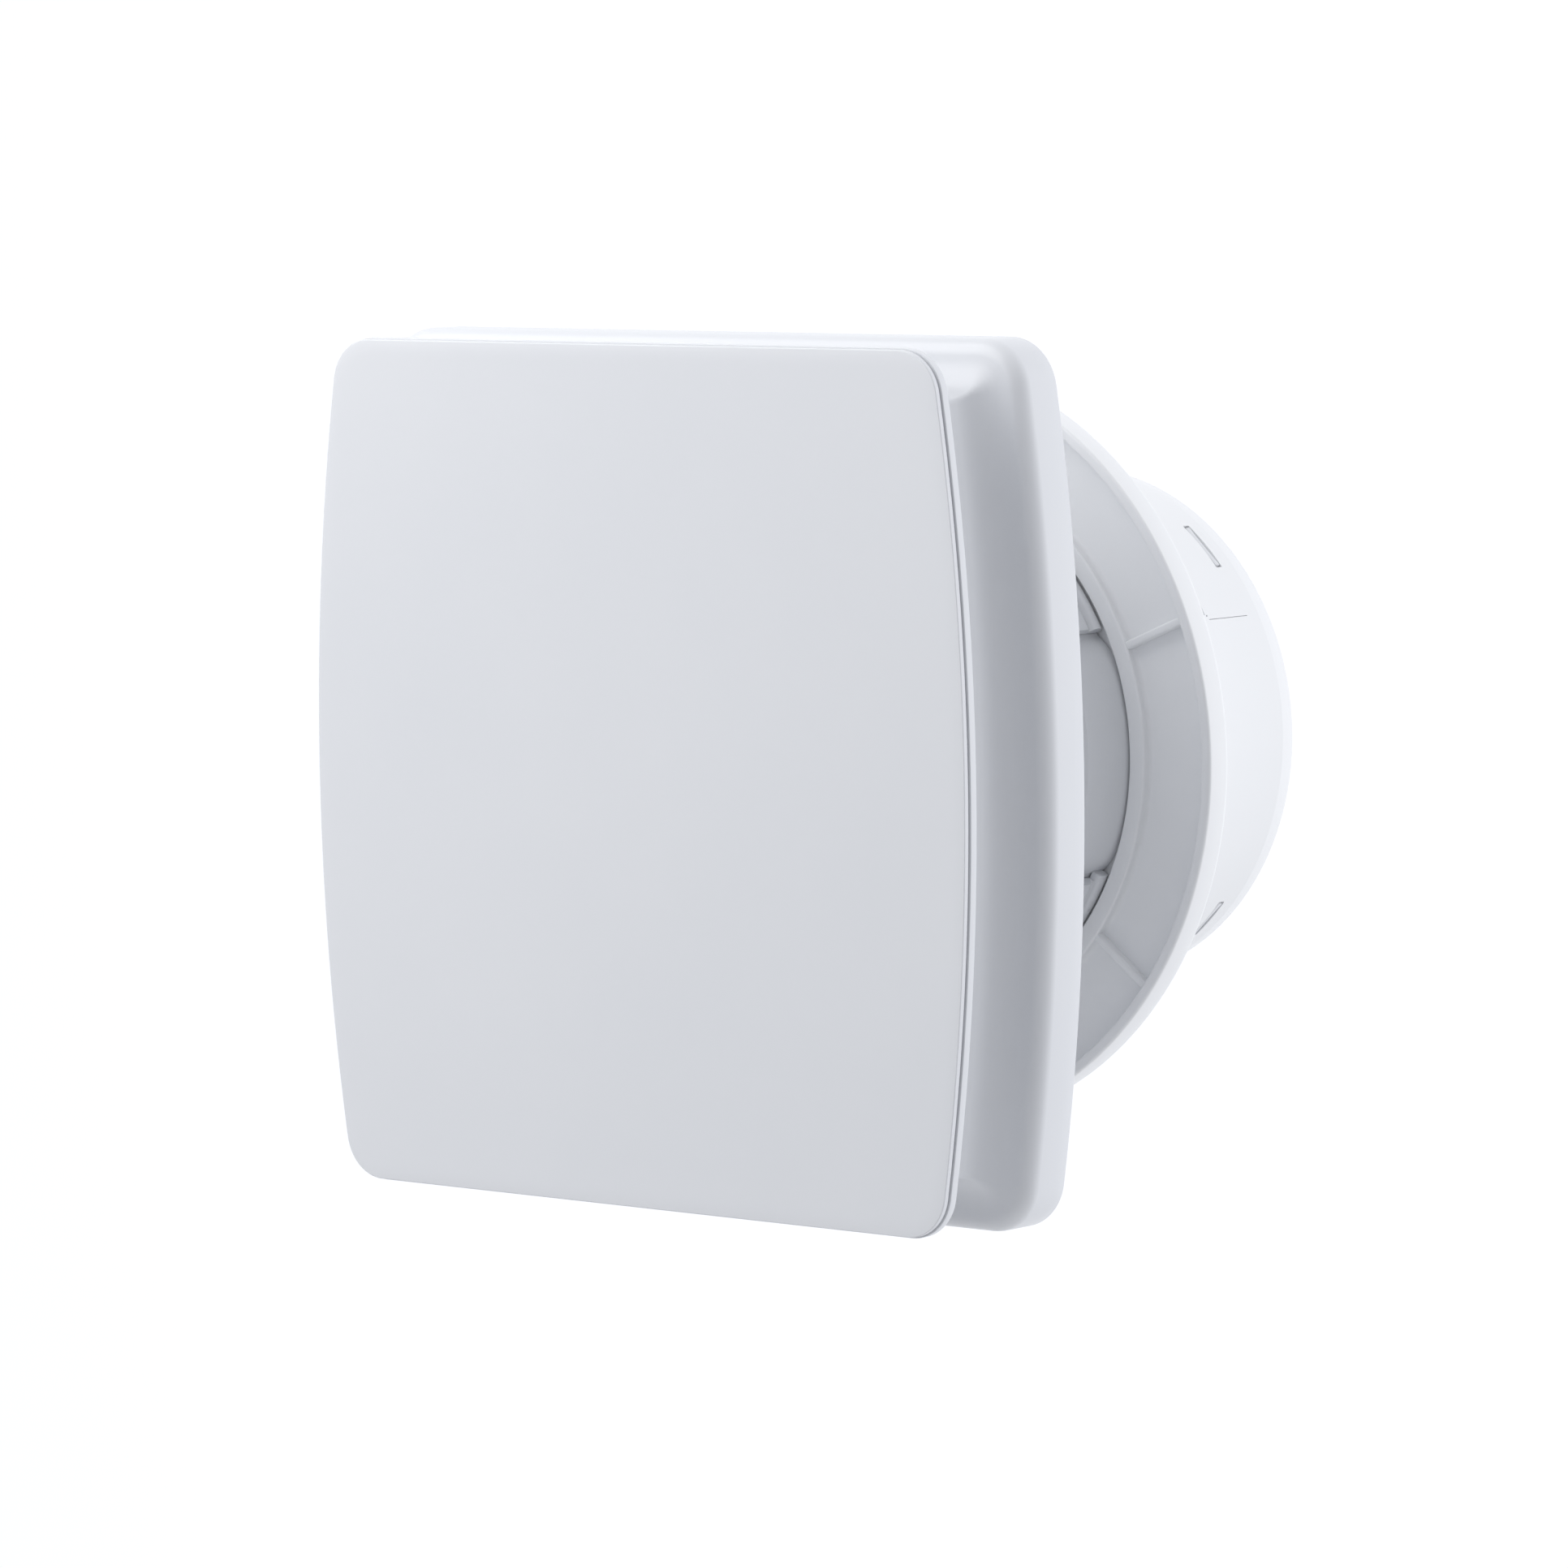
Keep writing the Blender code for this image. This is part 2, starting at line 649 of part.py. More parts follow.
def build_spider():
    spider = turned("motor_spider", cup_profile(), 36)
    add(spider, turned_ring("spider_ring", SPIDER_RING_R, SPIDER_RING_Y, 48))
    arm_r = (CUP_R[1] - 0.7, SPIDER_RING_R[1] - 0.5)
    arm_size = (arm_r[1] - arm_r[0], ARM_Y[1] - ARM_Y[0], 3.0)
    arm_centre = (sum(arm_r) / 2, sum(ARM_Y) / 2 + 0.2, 0.0)
    for i in range(ARM_COUNT):
        add(spider, block(f"arm_{i}", arm_size, arm_centre, 45.0 + i * 360.0 / ARM_COUNT))
    for i, x in enumerate((EAR_OFFSET, -EAR_OFFSET)):
        add(spider, rod(f"cup_ear_{i}", EAR_R, (CUP_Y[0] + 0.1, 26.0), x, 0.0))
        cut(spider, rod(f"cup_ear_hole_{i}", 1.3, (CUP_Y[0] - 1.0, 24.5), x, 0.0, 12))
    finish(spider, "satin_white")


def build_end_cap():
    front, back = END_CAP_Y
    profile = [
        (BEARING_BOSS_R, 21.5),
        (BEARING_BOSS_R, back),
        (CUP_R[1] - 0.1, back),
        (CUP_R[1] - 0.1, front),
        (SHAFT_R + 0.7, front),
        (SHAFT_R + 0.7, back - 0.3),
        (BEARING_SEAT_R, back - 0.3),
        (BEARING_SEAT_R, 21.5),
    ]
    cap = turned("motor_end_cap", profile, 32)
    for i, x in enumerate((EAR_OFFSET, -EAR_OFFSET)):
        add(cap, rod(f"cap_ear_{i}", EAR_R, (front + 0.1, back - 0.1), x, 0.0))
        cut(cap, rod(f"cap_ear_hole_{i}", 1.3, (front - 1.0, back + 1.0), x, 0.0, 12))
    finish(cap, "grey_plastic")


def build_bearings():
    front_seat = (END_CAP_Y[1], 20.8)
    back_seat = (42.2, 47.0)
    for name, seat in (("bearing_front", front_seat), ("bearing_rear", back_seat)):
        finish(turned_ring(name, (BORE_R, BEARING_R), seat, 24), "bronze")


def build_core():
    core = turned_ring("stator_core", CORE_R, CORE_Y, 32)
    length = CORE_Y[1] - CORE_Y[0] - 0.4
    middle = sum(CORE_Y) / 2
    pole_size = (CORE_R[0] + 1.0 - AIR_GAP_R, length, POLE_WIDTH)
    pole_centre = ((CORE_R[0] + 1.0 + AIR_GAP_R) / 2, middle, 0.0)
    for i in range(POLE_COUNT):
        add(core, block(f"pole_{i}", pole_size, pole_centre, i * 360.0 / POLE_COUNT))
    finish(core, "lamination")


def build_coils():
    middle = sum(CORE_Y) / 2
    thick = COIL_R[1] - COIL_R[0]
    centre = (sum(COIL_R) / 2, middle, 0.0)
    for i in range(POLE_COUNT):
        turn = i * 360.0 / POLE_COUNT
        coil = block(f"stator_coil_{i + 1}", (thick, COIL_LENGTH, COIL_WIDTH), centre, turn)
        window = (thick + 2.0, CORE_Y[1] - CORE_Y[0] + 0.6, POLE_WIDTH + 0.6)
        cut(coil, block(f"coil_window_{i}", window, centre, turn))
        finish(coil, "copper")


def build_shaft_and_rotor():
    finish(rod("motor_shaft", SHAFT_R, SHAFT_Y, segments=20), "steel")
    finish(turned_ring("rotor", (BORE_R, ROTOR_R), CORE_Y, 28), "lamination")


# ---------------------------------------------------------------- impeller


def blade(name, turn):
    """A twisted, cambered blade from inside the hub wall to the tip, as a skin given its thickness."""
    spans = 4
    chords = 4

    def build(bm):
        rows = []
        for i in range(spans + 1):
            s = i / spans
            radius = HUB_R - 1.0 + (BLADE_TIP_R - HUB_R + 1.0) * s
            pitch = math.radians(BLADE_ROOT_ANGLE + (BLADE_TIP_ANGLE - BLADE_ROOT_ANGLE) * s)
            chord = BLADE_ROOT_CHORD + (BLADE_TIP_CHORD - BLADE_ROOT_CHORD) * s
            rows.append([bm.verts.new(blade_point(radius, pitch, chord, j / chords)) for j in range(chords + 1)])
        for low, high in zip(rows, rows[1:]):
            for j in range(chords):
                bm.faces.new((low[j], low[j + 1], high[j + 1], high[j]))

    obj = mesh_object(name, build)
    obj.rotation_euler.y = math.radians(turn)
    skin = obj.modifiers.new("thickness", "SOLIDIFY")
    skin.thickness = BLADE_THICK * MM
    skin.offset = 0.0
    return obj


def blade_point(radius, pitch, chord, t):
    """A point t along the chord, wrapped round the duct axis at its radius."""
    along = (t - 0.5) * chord
    camber = 0.08 * chord * (1.0 - (2.0 * t - 1.0) ** 2)
    around = along * math.cos(pitch) - camber * math.sin(pitch)
    axial = along * math.sin(pitch) + camber * math.cos(pitch)
    a = around / radius
    return radius * math.cos(a) * MM, (BLADE_MID_Y + axial) * MM, radius * math.sin(a) * MM


def hub_profile():
    front, back = HUB_Y
    return [
        (HUB_R, back),
        (HUB_R, front + 1.5),
        (HUB_R - 1.5, front),
        (BORE_R, front),
        (BORE_R, back - 1.0),
        (BORE_R + 2.5, back - 1.0),
        (BORE_R + 2.5, front + 2.0),
        (HUB_R - HUB_WALL, front + 2.0),
        (HUB_R - HUB_WALL, back),
    ]


def build_impeller():
    impeller = turned("impeller", hub_profile(), 42)
    for i in range(BLADE_COUNT):
        add(impeller, blade(f"blade_{i}", i * 360.0 / BLADE_COUNT))
    finish(impeller, "grey_plastic")


def build_impeller_cap():
    """The push-on cap that holds the impeller on the shaft's end."""
    seat = HUB_Y[0] - GAP
    bottom = SHAFT_Y[0] - 0.5
    profile = [
        (0.0, bottom),
        (BORE_R, bottom),
        (BORE_R, seat),
        (6.0, seat),
        (6.0, seat - 1.8),
        (4.6, seat - 3.3),
        (0.0, seat - 3.7),
    ]
    finish(turned("impeller_cap", profile, 24, closed=False), "grey_plastic")


# ---------------------------------------------------------------- mains connection


def terminal_xs():
    return [BLOCK_CENTRE[0] + (i - 1) * TERMINAL_PITCH for i in range(3)]


def clamp_screw_xs():
    return [CLAMP_CENTRE_X - CLAMP_SCREW_OFFSET, CLAMP_CENTRE_X + CLAMP_SCREW_OFFSET]


def build_terminal_block():
    block_back = BLOCK_CENTRE[1] + BLOCK_SIZE[1] / 2
    z = BLOCK_CENTRE[2]
    body = block("terminal_block", BLOCK_SIZE, BLOCK_CENTRE)
    for i, x in enumerate(terminal_xs()):
        cut(body, rod(f"pocket_{i}", 2.5, (block_back - 4.0, block_back + 1.0), x, z, 12))
        cut(body, rod(f"thread_{i}", 1.5, (block_back - 8.0, block_back - 3.0), x, z, 12))
    finish(body, "grey_plastic")
    for i, x in enumerate(terminal_xs()):
        head = (block_back - 3.6, block_back - 1.6)
        screw(f"terminal_screw_{i + 1}", 2.0, head, 1.2, block_back - 7.6, x, z, "brass")


def build_terminal_cover():
    margin = COVER_CLEARANCE + COVER_WALL
    front = BLOCK_CENTRE[1] - BLOCK_SIZE[1] / 2
    outer = (BLOCK_SIZE[0] + 2 * margin, COVER_BACK_Y - front, BLOCK_SIZE[2] + 2 * margin)
    centre = (BLOCK_CENTRE[0], (COVER_BACK_Y + front) / 2, BLOCK_CENTRE[2])
    cover = block("terminal_cover", outer, centre)
    inner = (outer[0] - 2 * COVER_WALL, outer[1], outer[2] - 2 * COVER_WALL)
    cut(cover, block("cover_room", inner, (centre[0], centre[1] - COVER_WALL, centre[2])))
    slot_z = centre[2] + outer[2] / 2
    cut(cover, block("cover_slot", (8.0, 6.0, 4.0), (CLAMP_CENTRE_X, front + 2.0, slot_z)))
    finish(cover, "satin_white")


def build_cable_clamp():
    y = CLAMP_FRONT_Y + CLAMP_SIZE[1] / 2
    bar = block("cable_clamp", CLAMP_SIZE, (CLAMP_CENTRE_X, y, CLAMP_CENTRE_Z))
    back = CLAMP_FRONT_Y + CLAMP_SIZE[1]
    for i, x in enumerate(clamp_screw_xs()):
        cut(bar, rod(f"bar_hole_{i}", 1.3, (CLAMP_FRONT_Y - 1.0, back + 1.0), x, CLAMP_CENTRE_Z, 12))
    finish(bar, "satin_white")
    for i, x in enumerate(clamp_screw_xs()):
        head = (back + GAP, back + GAP + 1.6)
        screw(f"clamp_screw_{i + 1}", 2.0, head, 1.0, DECK_BACK_Y + 1.0, x, CLAMP_CENTRE_Z, "steel")


# ---------------------------------------------------------------- fasteners


def screw(name, head_r, head_y, shank_r, tip_y, x, z, key):
    """A pan-head screw along Y. tip_y lies on either side of the head, and the shank runs to it."""
    low, high = head_y
    rim = 0.3 * (high - low)
    if tip_y < low:
        profile = [(0.0, high), (head_r - rim, high), (head_r, high - rim), (head_r, low)]
        profile += [(shank_r, low), (shank_r, tip_y + shank_r), (0.0, tip_y)]
    else:
        profile = [(0.0, tip_y), (shank_r, tip_y - shank_r), (shank_r, high), (head_r, high)]
        profile += [(head_r, low + rim), (head_r - rim, low), (0.0, low)]
    finish(turned(name, profile, 14, closed=False, axis_x=x, axis_z=z), key)


def build_screws():
    head_back = DECK_FRONT_Y - GAP
    for i, (x, z) in enumerate(corner_points(WALL_SCREW_X, WALL_SCREW_Z)):
        head = (head_back - 2.4, head_back)
        screw(f"wall_screw_{i + 1}", 3.8, head, 1.9, head_back + WALL_SCREW_LENGTH, x, z, "steel")
    flange_back = TUBE_FRONT_Y + TUBE_FLANGE_THICK
    for i, angle in enumerate(TUBE_SCREW_ANGLES):
        x, z = polar(TUBE_SCREW_R, angle)
        head = (flange_back + GAP, flange_back + GAP + 1.8)
        screw(f"tube_screw_{i + 1}", 2.4, head, 1.1, DECK_BACK_Y + 0.6, x, z, "steel")
    for i, x in enumerate((EAR_OFFSET, -EAR_OFFSET)):
        head = (END_CAP_Y[0] - GAP - 1.5, END_CAP_Y[0] - GAP)
        screw(f"motor_screw_{i + 1}", 2.2, head, 1.0, 24.0, x, 0.0, "steel")


# ---------------------------------------------------------------- the whole fan


def build_fan():
    build_panel()
    build_frame()
    build_tube()
    build_sleeves()
    build_adaptor()
    build_shutter_sleeve()
    build_shutter_pin()
    build_shutter_spring()
    build_flap("flap_right", 1)
    build_flap("flap_left", -1)
    build_spider()
    build_end_cap()
    build_bearings()
    build_core()
    build_coils()
    build_shaft_and_rotor()
    build_impeller()
    build_impeller_cap()
    build_terminal_block()
    build_terminal_cover()
    build_cable_clamp()
    build_screws()


clear_scene()
PARTS = new_collection("extractor_fan")
TOOLS = new_collection("tools")
build_fan()
bpy.context.view_layer.update()
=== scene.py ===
"""Looks of the extractor fan: smooth moulded shells, ribs, snap windows, screws and procedural materials.

+Z is up, the front faces -Y and the duct runs along +Y, as in the frame. Shapes are worked out in millimetres
and turned into metres when a piece is made.
"""

import math

import bmesh
import bpy
from mathutils import Matrix, Vector


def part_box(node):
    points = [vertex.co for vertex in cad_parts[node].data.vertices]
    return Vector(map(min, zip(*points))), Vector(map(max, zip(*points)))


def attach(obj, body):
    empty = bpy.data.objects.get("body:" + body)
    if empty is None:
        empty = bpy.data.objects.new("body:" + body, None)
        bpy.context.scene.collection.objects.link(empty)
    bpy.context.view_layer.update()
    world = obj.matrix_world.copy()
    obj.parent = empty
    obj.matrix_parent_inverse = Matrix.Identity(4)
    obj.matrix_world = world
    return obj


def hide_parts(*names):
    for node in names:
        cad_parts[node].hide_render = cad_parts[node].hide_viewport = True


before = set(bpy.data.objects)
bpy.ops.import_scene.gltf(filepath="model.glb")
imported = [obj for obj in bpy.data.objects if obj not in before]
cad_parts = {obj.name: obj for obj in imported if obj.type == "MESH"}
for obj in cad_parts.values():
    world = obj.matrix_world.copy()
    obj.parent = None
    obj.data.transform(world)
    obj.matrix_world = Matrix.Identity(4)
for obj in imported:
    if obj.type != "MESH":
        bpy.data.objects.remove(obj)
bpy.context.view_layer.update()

MM = 0.001
SHARP_ANGLE = math.radians(40)

# Places read from the frame, in millimetres


def node_box(name):
    low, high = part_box(name)
    return [c / MM for c in low], [c / MM for c in high]


def centre_of(low, high):
    return [(a + b) / 2 for a, b in zip(low, high)]


def size_of(low, high):
    return [b - a for a, b in zip(low, high)]


FACE_LOW, FACE_HIGH = node_box("panel_face")
CARRIER_LOW, CARRIER_HIGH = node_box("panel_carrier")
FRAME_LOW, FRAME_HIGH = node_box("front_frame")
TUBE_LOW, TUBE_HIGH = node_box("fan_tube")
SLEEVE_LOW, SLEEVE_HIGH = node_box("tube_sleeve_upper")
ADAPTOR_LOW, ADAPTOR_HIGH = node_box("duct_adaptor")
SHUTTER_LOW, SHUTTER_HIGH = node_box("shutter_sleeve")
SPIDER_LOW, SPIDER_HIGH = node_box("motor_spider")
CORE_LOW, CORE_HIGH = node_box("stator_core")
BLOCK_LOW, BLOCK_HIGH = node_box("terminal_block")
COVER_LOW, COVER_HIGH = node_box("terminal_cover")
CLAMP_LOW, CLAMP_HIGH = node_box("cable_clamp")
PIN_LOW, PIN_HIGH = node_box("shutter_pin")

# Front panel
PANEL_HEIGHT = CARRIER_HIGH[2] - CARRIER_LOW[2]
PANEL_MID_WIDTH = CARRIER_HIGH[0] - CARRIER_LOW[0]
PANEL_TOP_WIDTH = PANEL_MID_WIDTH - 13.5
PANEL_CORNER = 9.0
FACE_FRONT = FACE_LOW[1]
FACE_BACK = FACE_HIGH[1]
FACE_INSET = 0.3
LIP_FRONT = CARRIER_LOW[1]
LIP_BACK = LIP_FRONT + 1.8
POST_END = CARRIER_HIGH[1]
POST_X = 20.0
POST_Z = 62.0
POST_R = 2.6

# Wall frame
FRAME_GROW = 3.7
RIM_DEPTH = 7.5
RIM_FILLET = 3.0
COVE_WIDTH = 7.5
COVE_DEPTH = 6.5
NECK_INSET = 11.0
WALL = 2.4
DECK_FRONT = -20.6
DECK_BACK = -18.6
INLET_R = 47.5
INLET_OUTER_R = 51.0
INLET_BACK = -13.4

# Fan tube, sleeves and adaptor
TUBE_R = (47.0, 49.0)
TUBE_FLANGE_R = TUBE_HIGH[0]
TUBE_SCREW_R = 54.2
TUBE_SCREW_ANGLES = (90.0, 210.0, 330.0)
WALL_SCREW_X = 60.0
WALL_SCREW_Z = 36.0
WALL_SCREW_HOLE_R = 2.3
SOCKET_R = POST_R + 0.3
SLEEVE_R = (49.3, 51.4)
WINDOW_HALF_ANGLE = 27.5
SLEEVE_GROOVE = 3.6
FLARE_Y = (42.0, 51.0)
FLANGE_R = ADAPTOR_HIGH[0]
FLANGE_FRONT = ADAPTOR_LOW[1]
PLATE_Y = (53.6, 55.6)
FLANGE_LIP = 2.2
COLLAR_R = (51.8, 55.3)
COLLAR_FRONT = 51.8
SPIGOT_R = (48.2, 50.2)
SPIGOT_END = ADAPTOR_HIGH[1]
LEAD_IN_Y = 102.2
LEAD_IN_R = 49.6
RIB_COUNT = 6
RIB_FIRST_ANGLE = 22.0
SNAP_ANGLES = (46.0, 134.0, 226.0, 314.0)
SNAP_Y = (97.0, 98.8)
SNAP_WIDTH = 11.0

# Shutter
PIN_Y = (PIN_LOW[1] + PIN_HIGH[1]) / 2
PIN_R = (PIN_HIGH[1] - PIN_LOW[1]) / 2
SHUTTER_R = (46.3, 47.7)
SEAT_R = 44.4
SEAT_BACK = 59.6
FLAP_Y = (60.0, 61.2)
FLAP_R = 45.7
KNUCKLE_Z = (8.0, 38.0)
KNUCKLE_R = 2.6

# Motor and impeller
CUP_R = (22.6, 24.0)
CUP_Y = (SPIDER_LOW[1], SPIDER_HIGH[1] - 1.8)
EAR_OFFSET = 26.0
EAR_R = 2.8
EAR_HOLE_R = 1.3
SHAFT_HOLE_R = 3.2
BORE_R = 2.8
BUSH_SEAT_R = (7.3, 9.2)
HUB_R = 20.0
BLADE_COUNT = 7
BLADE_TIP_R = 45.6
BLADE_PITCH = (48.0, 26.0)

# Mains connection
TERMINAL_PITCH = 8.5


# ---------------- outlines and sections


def polar(radius, angle):
    a = math.radians(angle)
    return radius * math.cos(a), radius * math.sin(a)


def arc(cx, cz, radius, start, end, steps):
    """Points on a circle from angle start to end, in degrees."""
    points = []
    for i in range(steps + 1):
        x, z = polar(radius, start + (end - start) * i / steps)
        points.append((cx + x, cz + z))
    return points


def circle(radius, steps, cx=0.0, cz=0.0):
    return arc(cx, cz, radius, 0.0, 360.0, steps)[:-1]


def rounded(corners, steps=4, closed=True):
    """A line through (a, b, radius) corners, with each corner turned into an arc of its radius."""
    points = []
    count = len(corners)
    for i, (a, b, radius) in enumerate(corners):
        at_end = not closed and i in (0, count - 1)
        if at_end or radius <= 0.0:
            points.append((a, b))
            continue
        here = Vector((a, b))
        back = Vector(corners[i - 1][:2]) - here
        ahead = Vector(corners[(i + 1) % count][:2]) - here
        points += corner_arc(here, back, ahead, radius, steps)
    return points


def corner_arc(here, back, ahead, radius, steps):
    """The arc that rounds one corner, kept short of the middle of either side."""
    half = back.angle(ahead) / 2
    reach = min(radius / math.tan(half), 0.49 * back.length, 0.49 * ahead.length)
    radius = reach * math.tan(half)
    start = here + back.normalized() * reach
    end = here + ahead.normalized() * reach
    middle = here + (back.normalized() + ahead.normalized()).normalized() * (radius / math.sin(half))
    first = math.atan2(start.y - middle.y, start.x - middle.x)
    sweep = math.atan2(end.y - middle.y, end.x - middle.x) - first
    sweep = (sweep + math.pi) % (2 * math.pi) - math.pi
    turns = [first + sweep * k / steps for k in range(steps + 1)]
    return [(middle.x + radius * math.cos(t), middle.y + radius * math.sin(t)) for t in turns]


def barrel_outline(top_width, mid_width, height, corner, inset):
    """A plate outline with straight top and bottom, bulging sides and round corners, inset evenly."""
    bulge = (mid_width - top_width) / 2
    side_r = ((height / 2) ** 2 + bulge**2) / (2 * bulge)
    side_x = mid_width / 2 - side_r
    side_r -= inset
    corner_r = max(corner - inset, 1.0)
    corner_z = height / 2 - inset - corner_r
    corner_x = side_x + math.sqrt((side_r - corner_r) ** 2 - corner_z**2)
    tangent = math.degrees(math.atan2(corner_z, corner_x - side_x))
    side = arc(side_x, 0.0, side_r, -tangent, tangent, 30)
    turn = arc(corner_x, corner_z, corner_r, tangent, 90.0, 14)[1:]
    top = [(corner_x * (1.0 - k / 6), height / 2 - inset) for k in range(1, 6)]
    right = [(x, -z) for x, z in reversed(side[15:] + turn + top)][:-1] + side[15:] + turn + top
    left = [(-x, z) for x, z in reversed(right)]
    return right + [(0.0, height / 2 - inset)] + left + [(0.0, inset - height / 2)]


def panel_outline(inset):
    return barrel_outline(PANEL_TOP_WIDTH, PANEL_MID_WIDTH, PANEL_HEIGHT, PANEL_CORNER, inset)


def frame_outline(inset):
    top = PANEL_TOP_WIDTH + 2 * FRAME_GROW
    mid = FRAME_HIGH[0] - FRAME_LOW[0]
    return barrel_outline(top, mid, FRAME_HIGH[2] - FRAME_LOW[2], PANEL_CORNER + 1.0, inset)


def rectangle(half_width, half_height, corner, steps):
    return rounded([(x, z, corner) for x, z in four(half_width, half_height)], steps)


def four(x, z):
    return [(x, z), (-x, z), (-x, -z), (x, -z)]


# ---------------- surfaces


def skin(bm, loops, ring=False, caps=False):
    """Joins loops of points with quads. ring joins the last loop to the first, and caps close the ends."""
    rows = [[bm.verts.new(p) for p in loop] for loop in loops]
    pairs = list(zip(rows, rows[1:]))
    if ring:
        pairs.append((rows[-1], rows[0]))
    for here, there in pairs:
        for i in range(len(here)):
            j = (i + 1) % len(here)
            bm.faces.new((here[i], here[j], there[j], there[i]))
    if caps:
        bm.faces.new(rows[0])
        bm.faces.new(list(reversed(rows[-1])))
    return rows


def sweep_outline(bm, outline, section, ring=True, caps=False):
    """A section of (inset, y) points carried round an outline that is a function of the inset."""
    loops = [[(x, y, z) for x, z in outline(inset)] for inset, y in section]
    skin(bm, loops, ring, caps)


def plate(bm, outline, corners, steps):
    """A closed plate whose (inset, y, radius) corners go round its edge."""
    sweep_outline(bm, outline, rounded(corners, steps, closed=False), ring=False, caps=True)


def lathe(bm, profile, steps, cx=0.0, cz=0.0, ring=True):
    """A (radius, y) profile turned about a line along the duct. Without ring, its ends lie on that line."""
    directions = [polar(1.0, 360.0 * k / steps) for k in range(steps)]
    body = profile if ring else profile[1:-1]
    loops = [[(cx + r * c, y, cz + r * s) for c, s in directions] for r, y in body]
    rows = skin(bm, loops, ring)
    if ring:
        return
    for end, row in ((profile[0], rows[0]), (profile[-1], rows[-1])):
        tip = bm.verts.new((cx, end[1], cz))
        for i in range(steps):
            bm.faces.new((row[i], row[(i + 1) % steps], tip))


def sector(bm, profile, start, end, steps):
    """A (radius, y) profile swept round the duct axis between two angles, with flat ends."""
    loops = []
    for k in range(steps + 1):
        c, s = polar(1.0, start + (end - start) * k / steps)
        loops.append([(r * c, y, r * s) for r, y in profile])
    skin(bm, loops, caps=True)


def bar(bm, size, centre, bevel=0.3, turn=0.0, segments=2):
    """A box with rounded edges. turn swings it about the duct axis, from +X towards +Z."""
    part = bmesh.new()
    bmesh.ops.create_cube(part, size=1.0, matrix=Matrix.Diagonal((*size, 1.0)))
    if bevel > 0.0:
        edges = part.edges[:]
        bmesh.ops.bevel(part, geom=edges, offset=bevel, segments=segments, profile=0.5, affect="EDGES")
    swing = Matrix.Rotation(-math.radians(turn), 4, "Y") @ Matrix.Translation(centre)
    part.transform(swing)
    absorb(bm, part)


def tube(bm, radii, y_range, cx=0.0, cz=0.0, bevel=0.3, steps=40):
    """A short round boss with a hole, or a ring."""
    inner, outer = radii
    low, high = y_range
    corners = [(outer, high, bevel), (outer, low, bevel), (inner, low, bevel), (inner, high, bevel)]
    lathe(bm, rounded(corners, 3), steps, cx, cz)


def peg(bm, radius, y_range, cx=0.0, cz=0.0, bevel=0.3, steps=32):
    """A solid round peg."""
    low, high = y_range
    corners = [(0.0, high, 0.0), (radius, high, bevel), (radius, low, bevel), (0.0, low, 0.0)]
    lathe(bm, rounded(corners, 3, closed=False), steps, cx, cz, ring=False)


def slab(bm, outlines, y_range):
    """A flat plate. The first outline is its edge and the others are its holes."""
    curve = bpy.data.curves.new("slab", "CURVE")
    curve.dimensions = "2D"
    curve.fill_mode = "BOTH"
    curve.extrude = (y_range[1] - y_range[0]) / 2
    for outline in outlines:
        spline = curve.splines.new("POLY")
        spline.points.add(len(outline) - 1)
        for point, (x, z) in zip(spline.points, outline):
            point.co = (x, z, 0.0, 1.0)
        spline.use_cyclic_u = True
    shape = add_object("slab", curve)
    mesh = evaluated_mesh(shape)
    part = bmesh.new()
    part.from_mesh(mesh)
    bmesh.ops.remove_doubles(part, verts=part.verts, dist=0.001)
    part.transform(upright(0.0, sum(y_range) / 2, 0.0))
    absorb(bm, part)
    bpy.data.objects.remove(shape)
    bpy.data.curves.remove(curve)
    bpy.data.meshes.remove(mesh)


def upright(x, y, z):
    """Turns what was made along +Y to point along +Z, and moves it to a place."""
    return Matrix.Translation((x, y, z)) @ Matrix.Rotation(math.pi / 2, 4, "X")


def absorb(bm, part):
    """Adds one bmesh to another."""
    mesh = bpy.data.meshes.new("part")
    part.to_mesh(mesh)
    part.free()
    bm.from_mesh(mesh)
    bpy.data.meshes.remove(mesh)


def wire(bm, points, radius, sides=12):
    """A round wire through the points, with flat ends."""
    loops = []
    up = Vector((0.0, 0.0, 1.0))
    for i, point in enumerate(points):
        before = Vector(points[max(i - 1, 0)])
        after = Vector(points[min(i + 1, len(points) - 1)])
        along = (after - before).normalized()
        side = along.cross(up)
        if side.length < 0.05:
            side = along.cross(Vector((1.0, 0.0, 0.0)))
        side.normalize()
        rise = side.cross(along)
        turns = [2 * math.pi * k / sides for k in range(sides)]
        loops.append([Vector(point) + radius * (side * math.cos(t) + rise * math.sin(t)) for t in turns])
    skin(bm, loops, caps=True)


def shade(mesh):
    """Shades a mesh smooth except across its sharp edges."""
    for face in mesh.polygons:
        face.use_smooth = True
    mesh.set_sharp_from_angle(angle=SHARP_ANGLE)


def mesh_of(bm):
    """Turns the shape into metres and shades it."""
    bmesh.ops.recalc_face_normals(bm, faces=bm.faces)
    bm.transform(Matrix.Scale(MM, 4))
    mesh = bpy.data.meshes.new("shape")
    bm.to_mesh(mesh)
    bm.free()
    shade(mesh)
    return mesh


def add_object(name, data):
    obj = bpy.data.objects.new(name, data)
    bpy.context.scene.collection.objects.link(obj)
    return obj


def evaluated_mesh(obj):
    bpy.context.view_layer.update()
    return bpy.data.meshes.new_from_object(obj.evaluated_get(bpy.context.evaluated_depsgraph_get()))


def piece(name, bm, look, body, slot_name, *nodes):
    """Makes a finished piece that rides on a body and stands for its CAD nodes."""
    obj = add_object(name, mesh_of(bm))
    obj.data.materials.append(look)
    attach(obj, body)
    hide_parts(*nodes)
    return obj


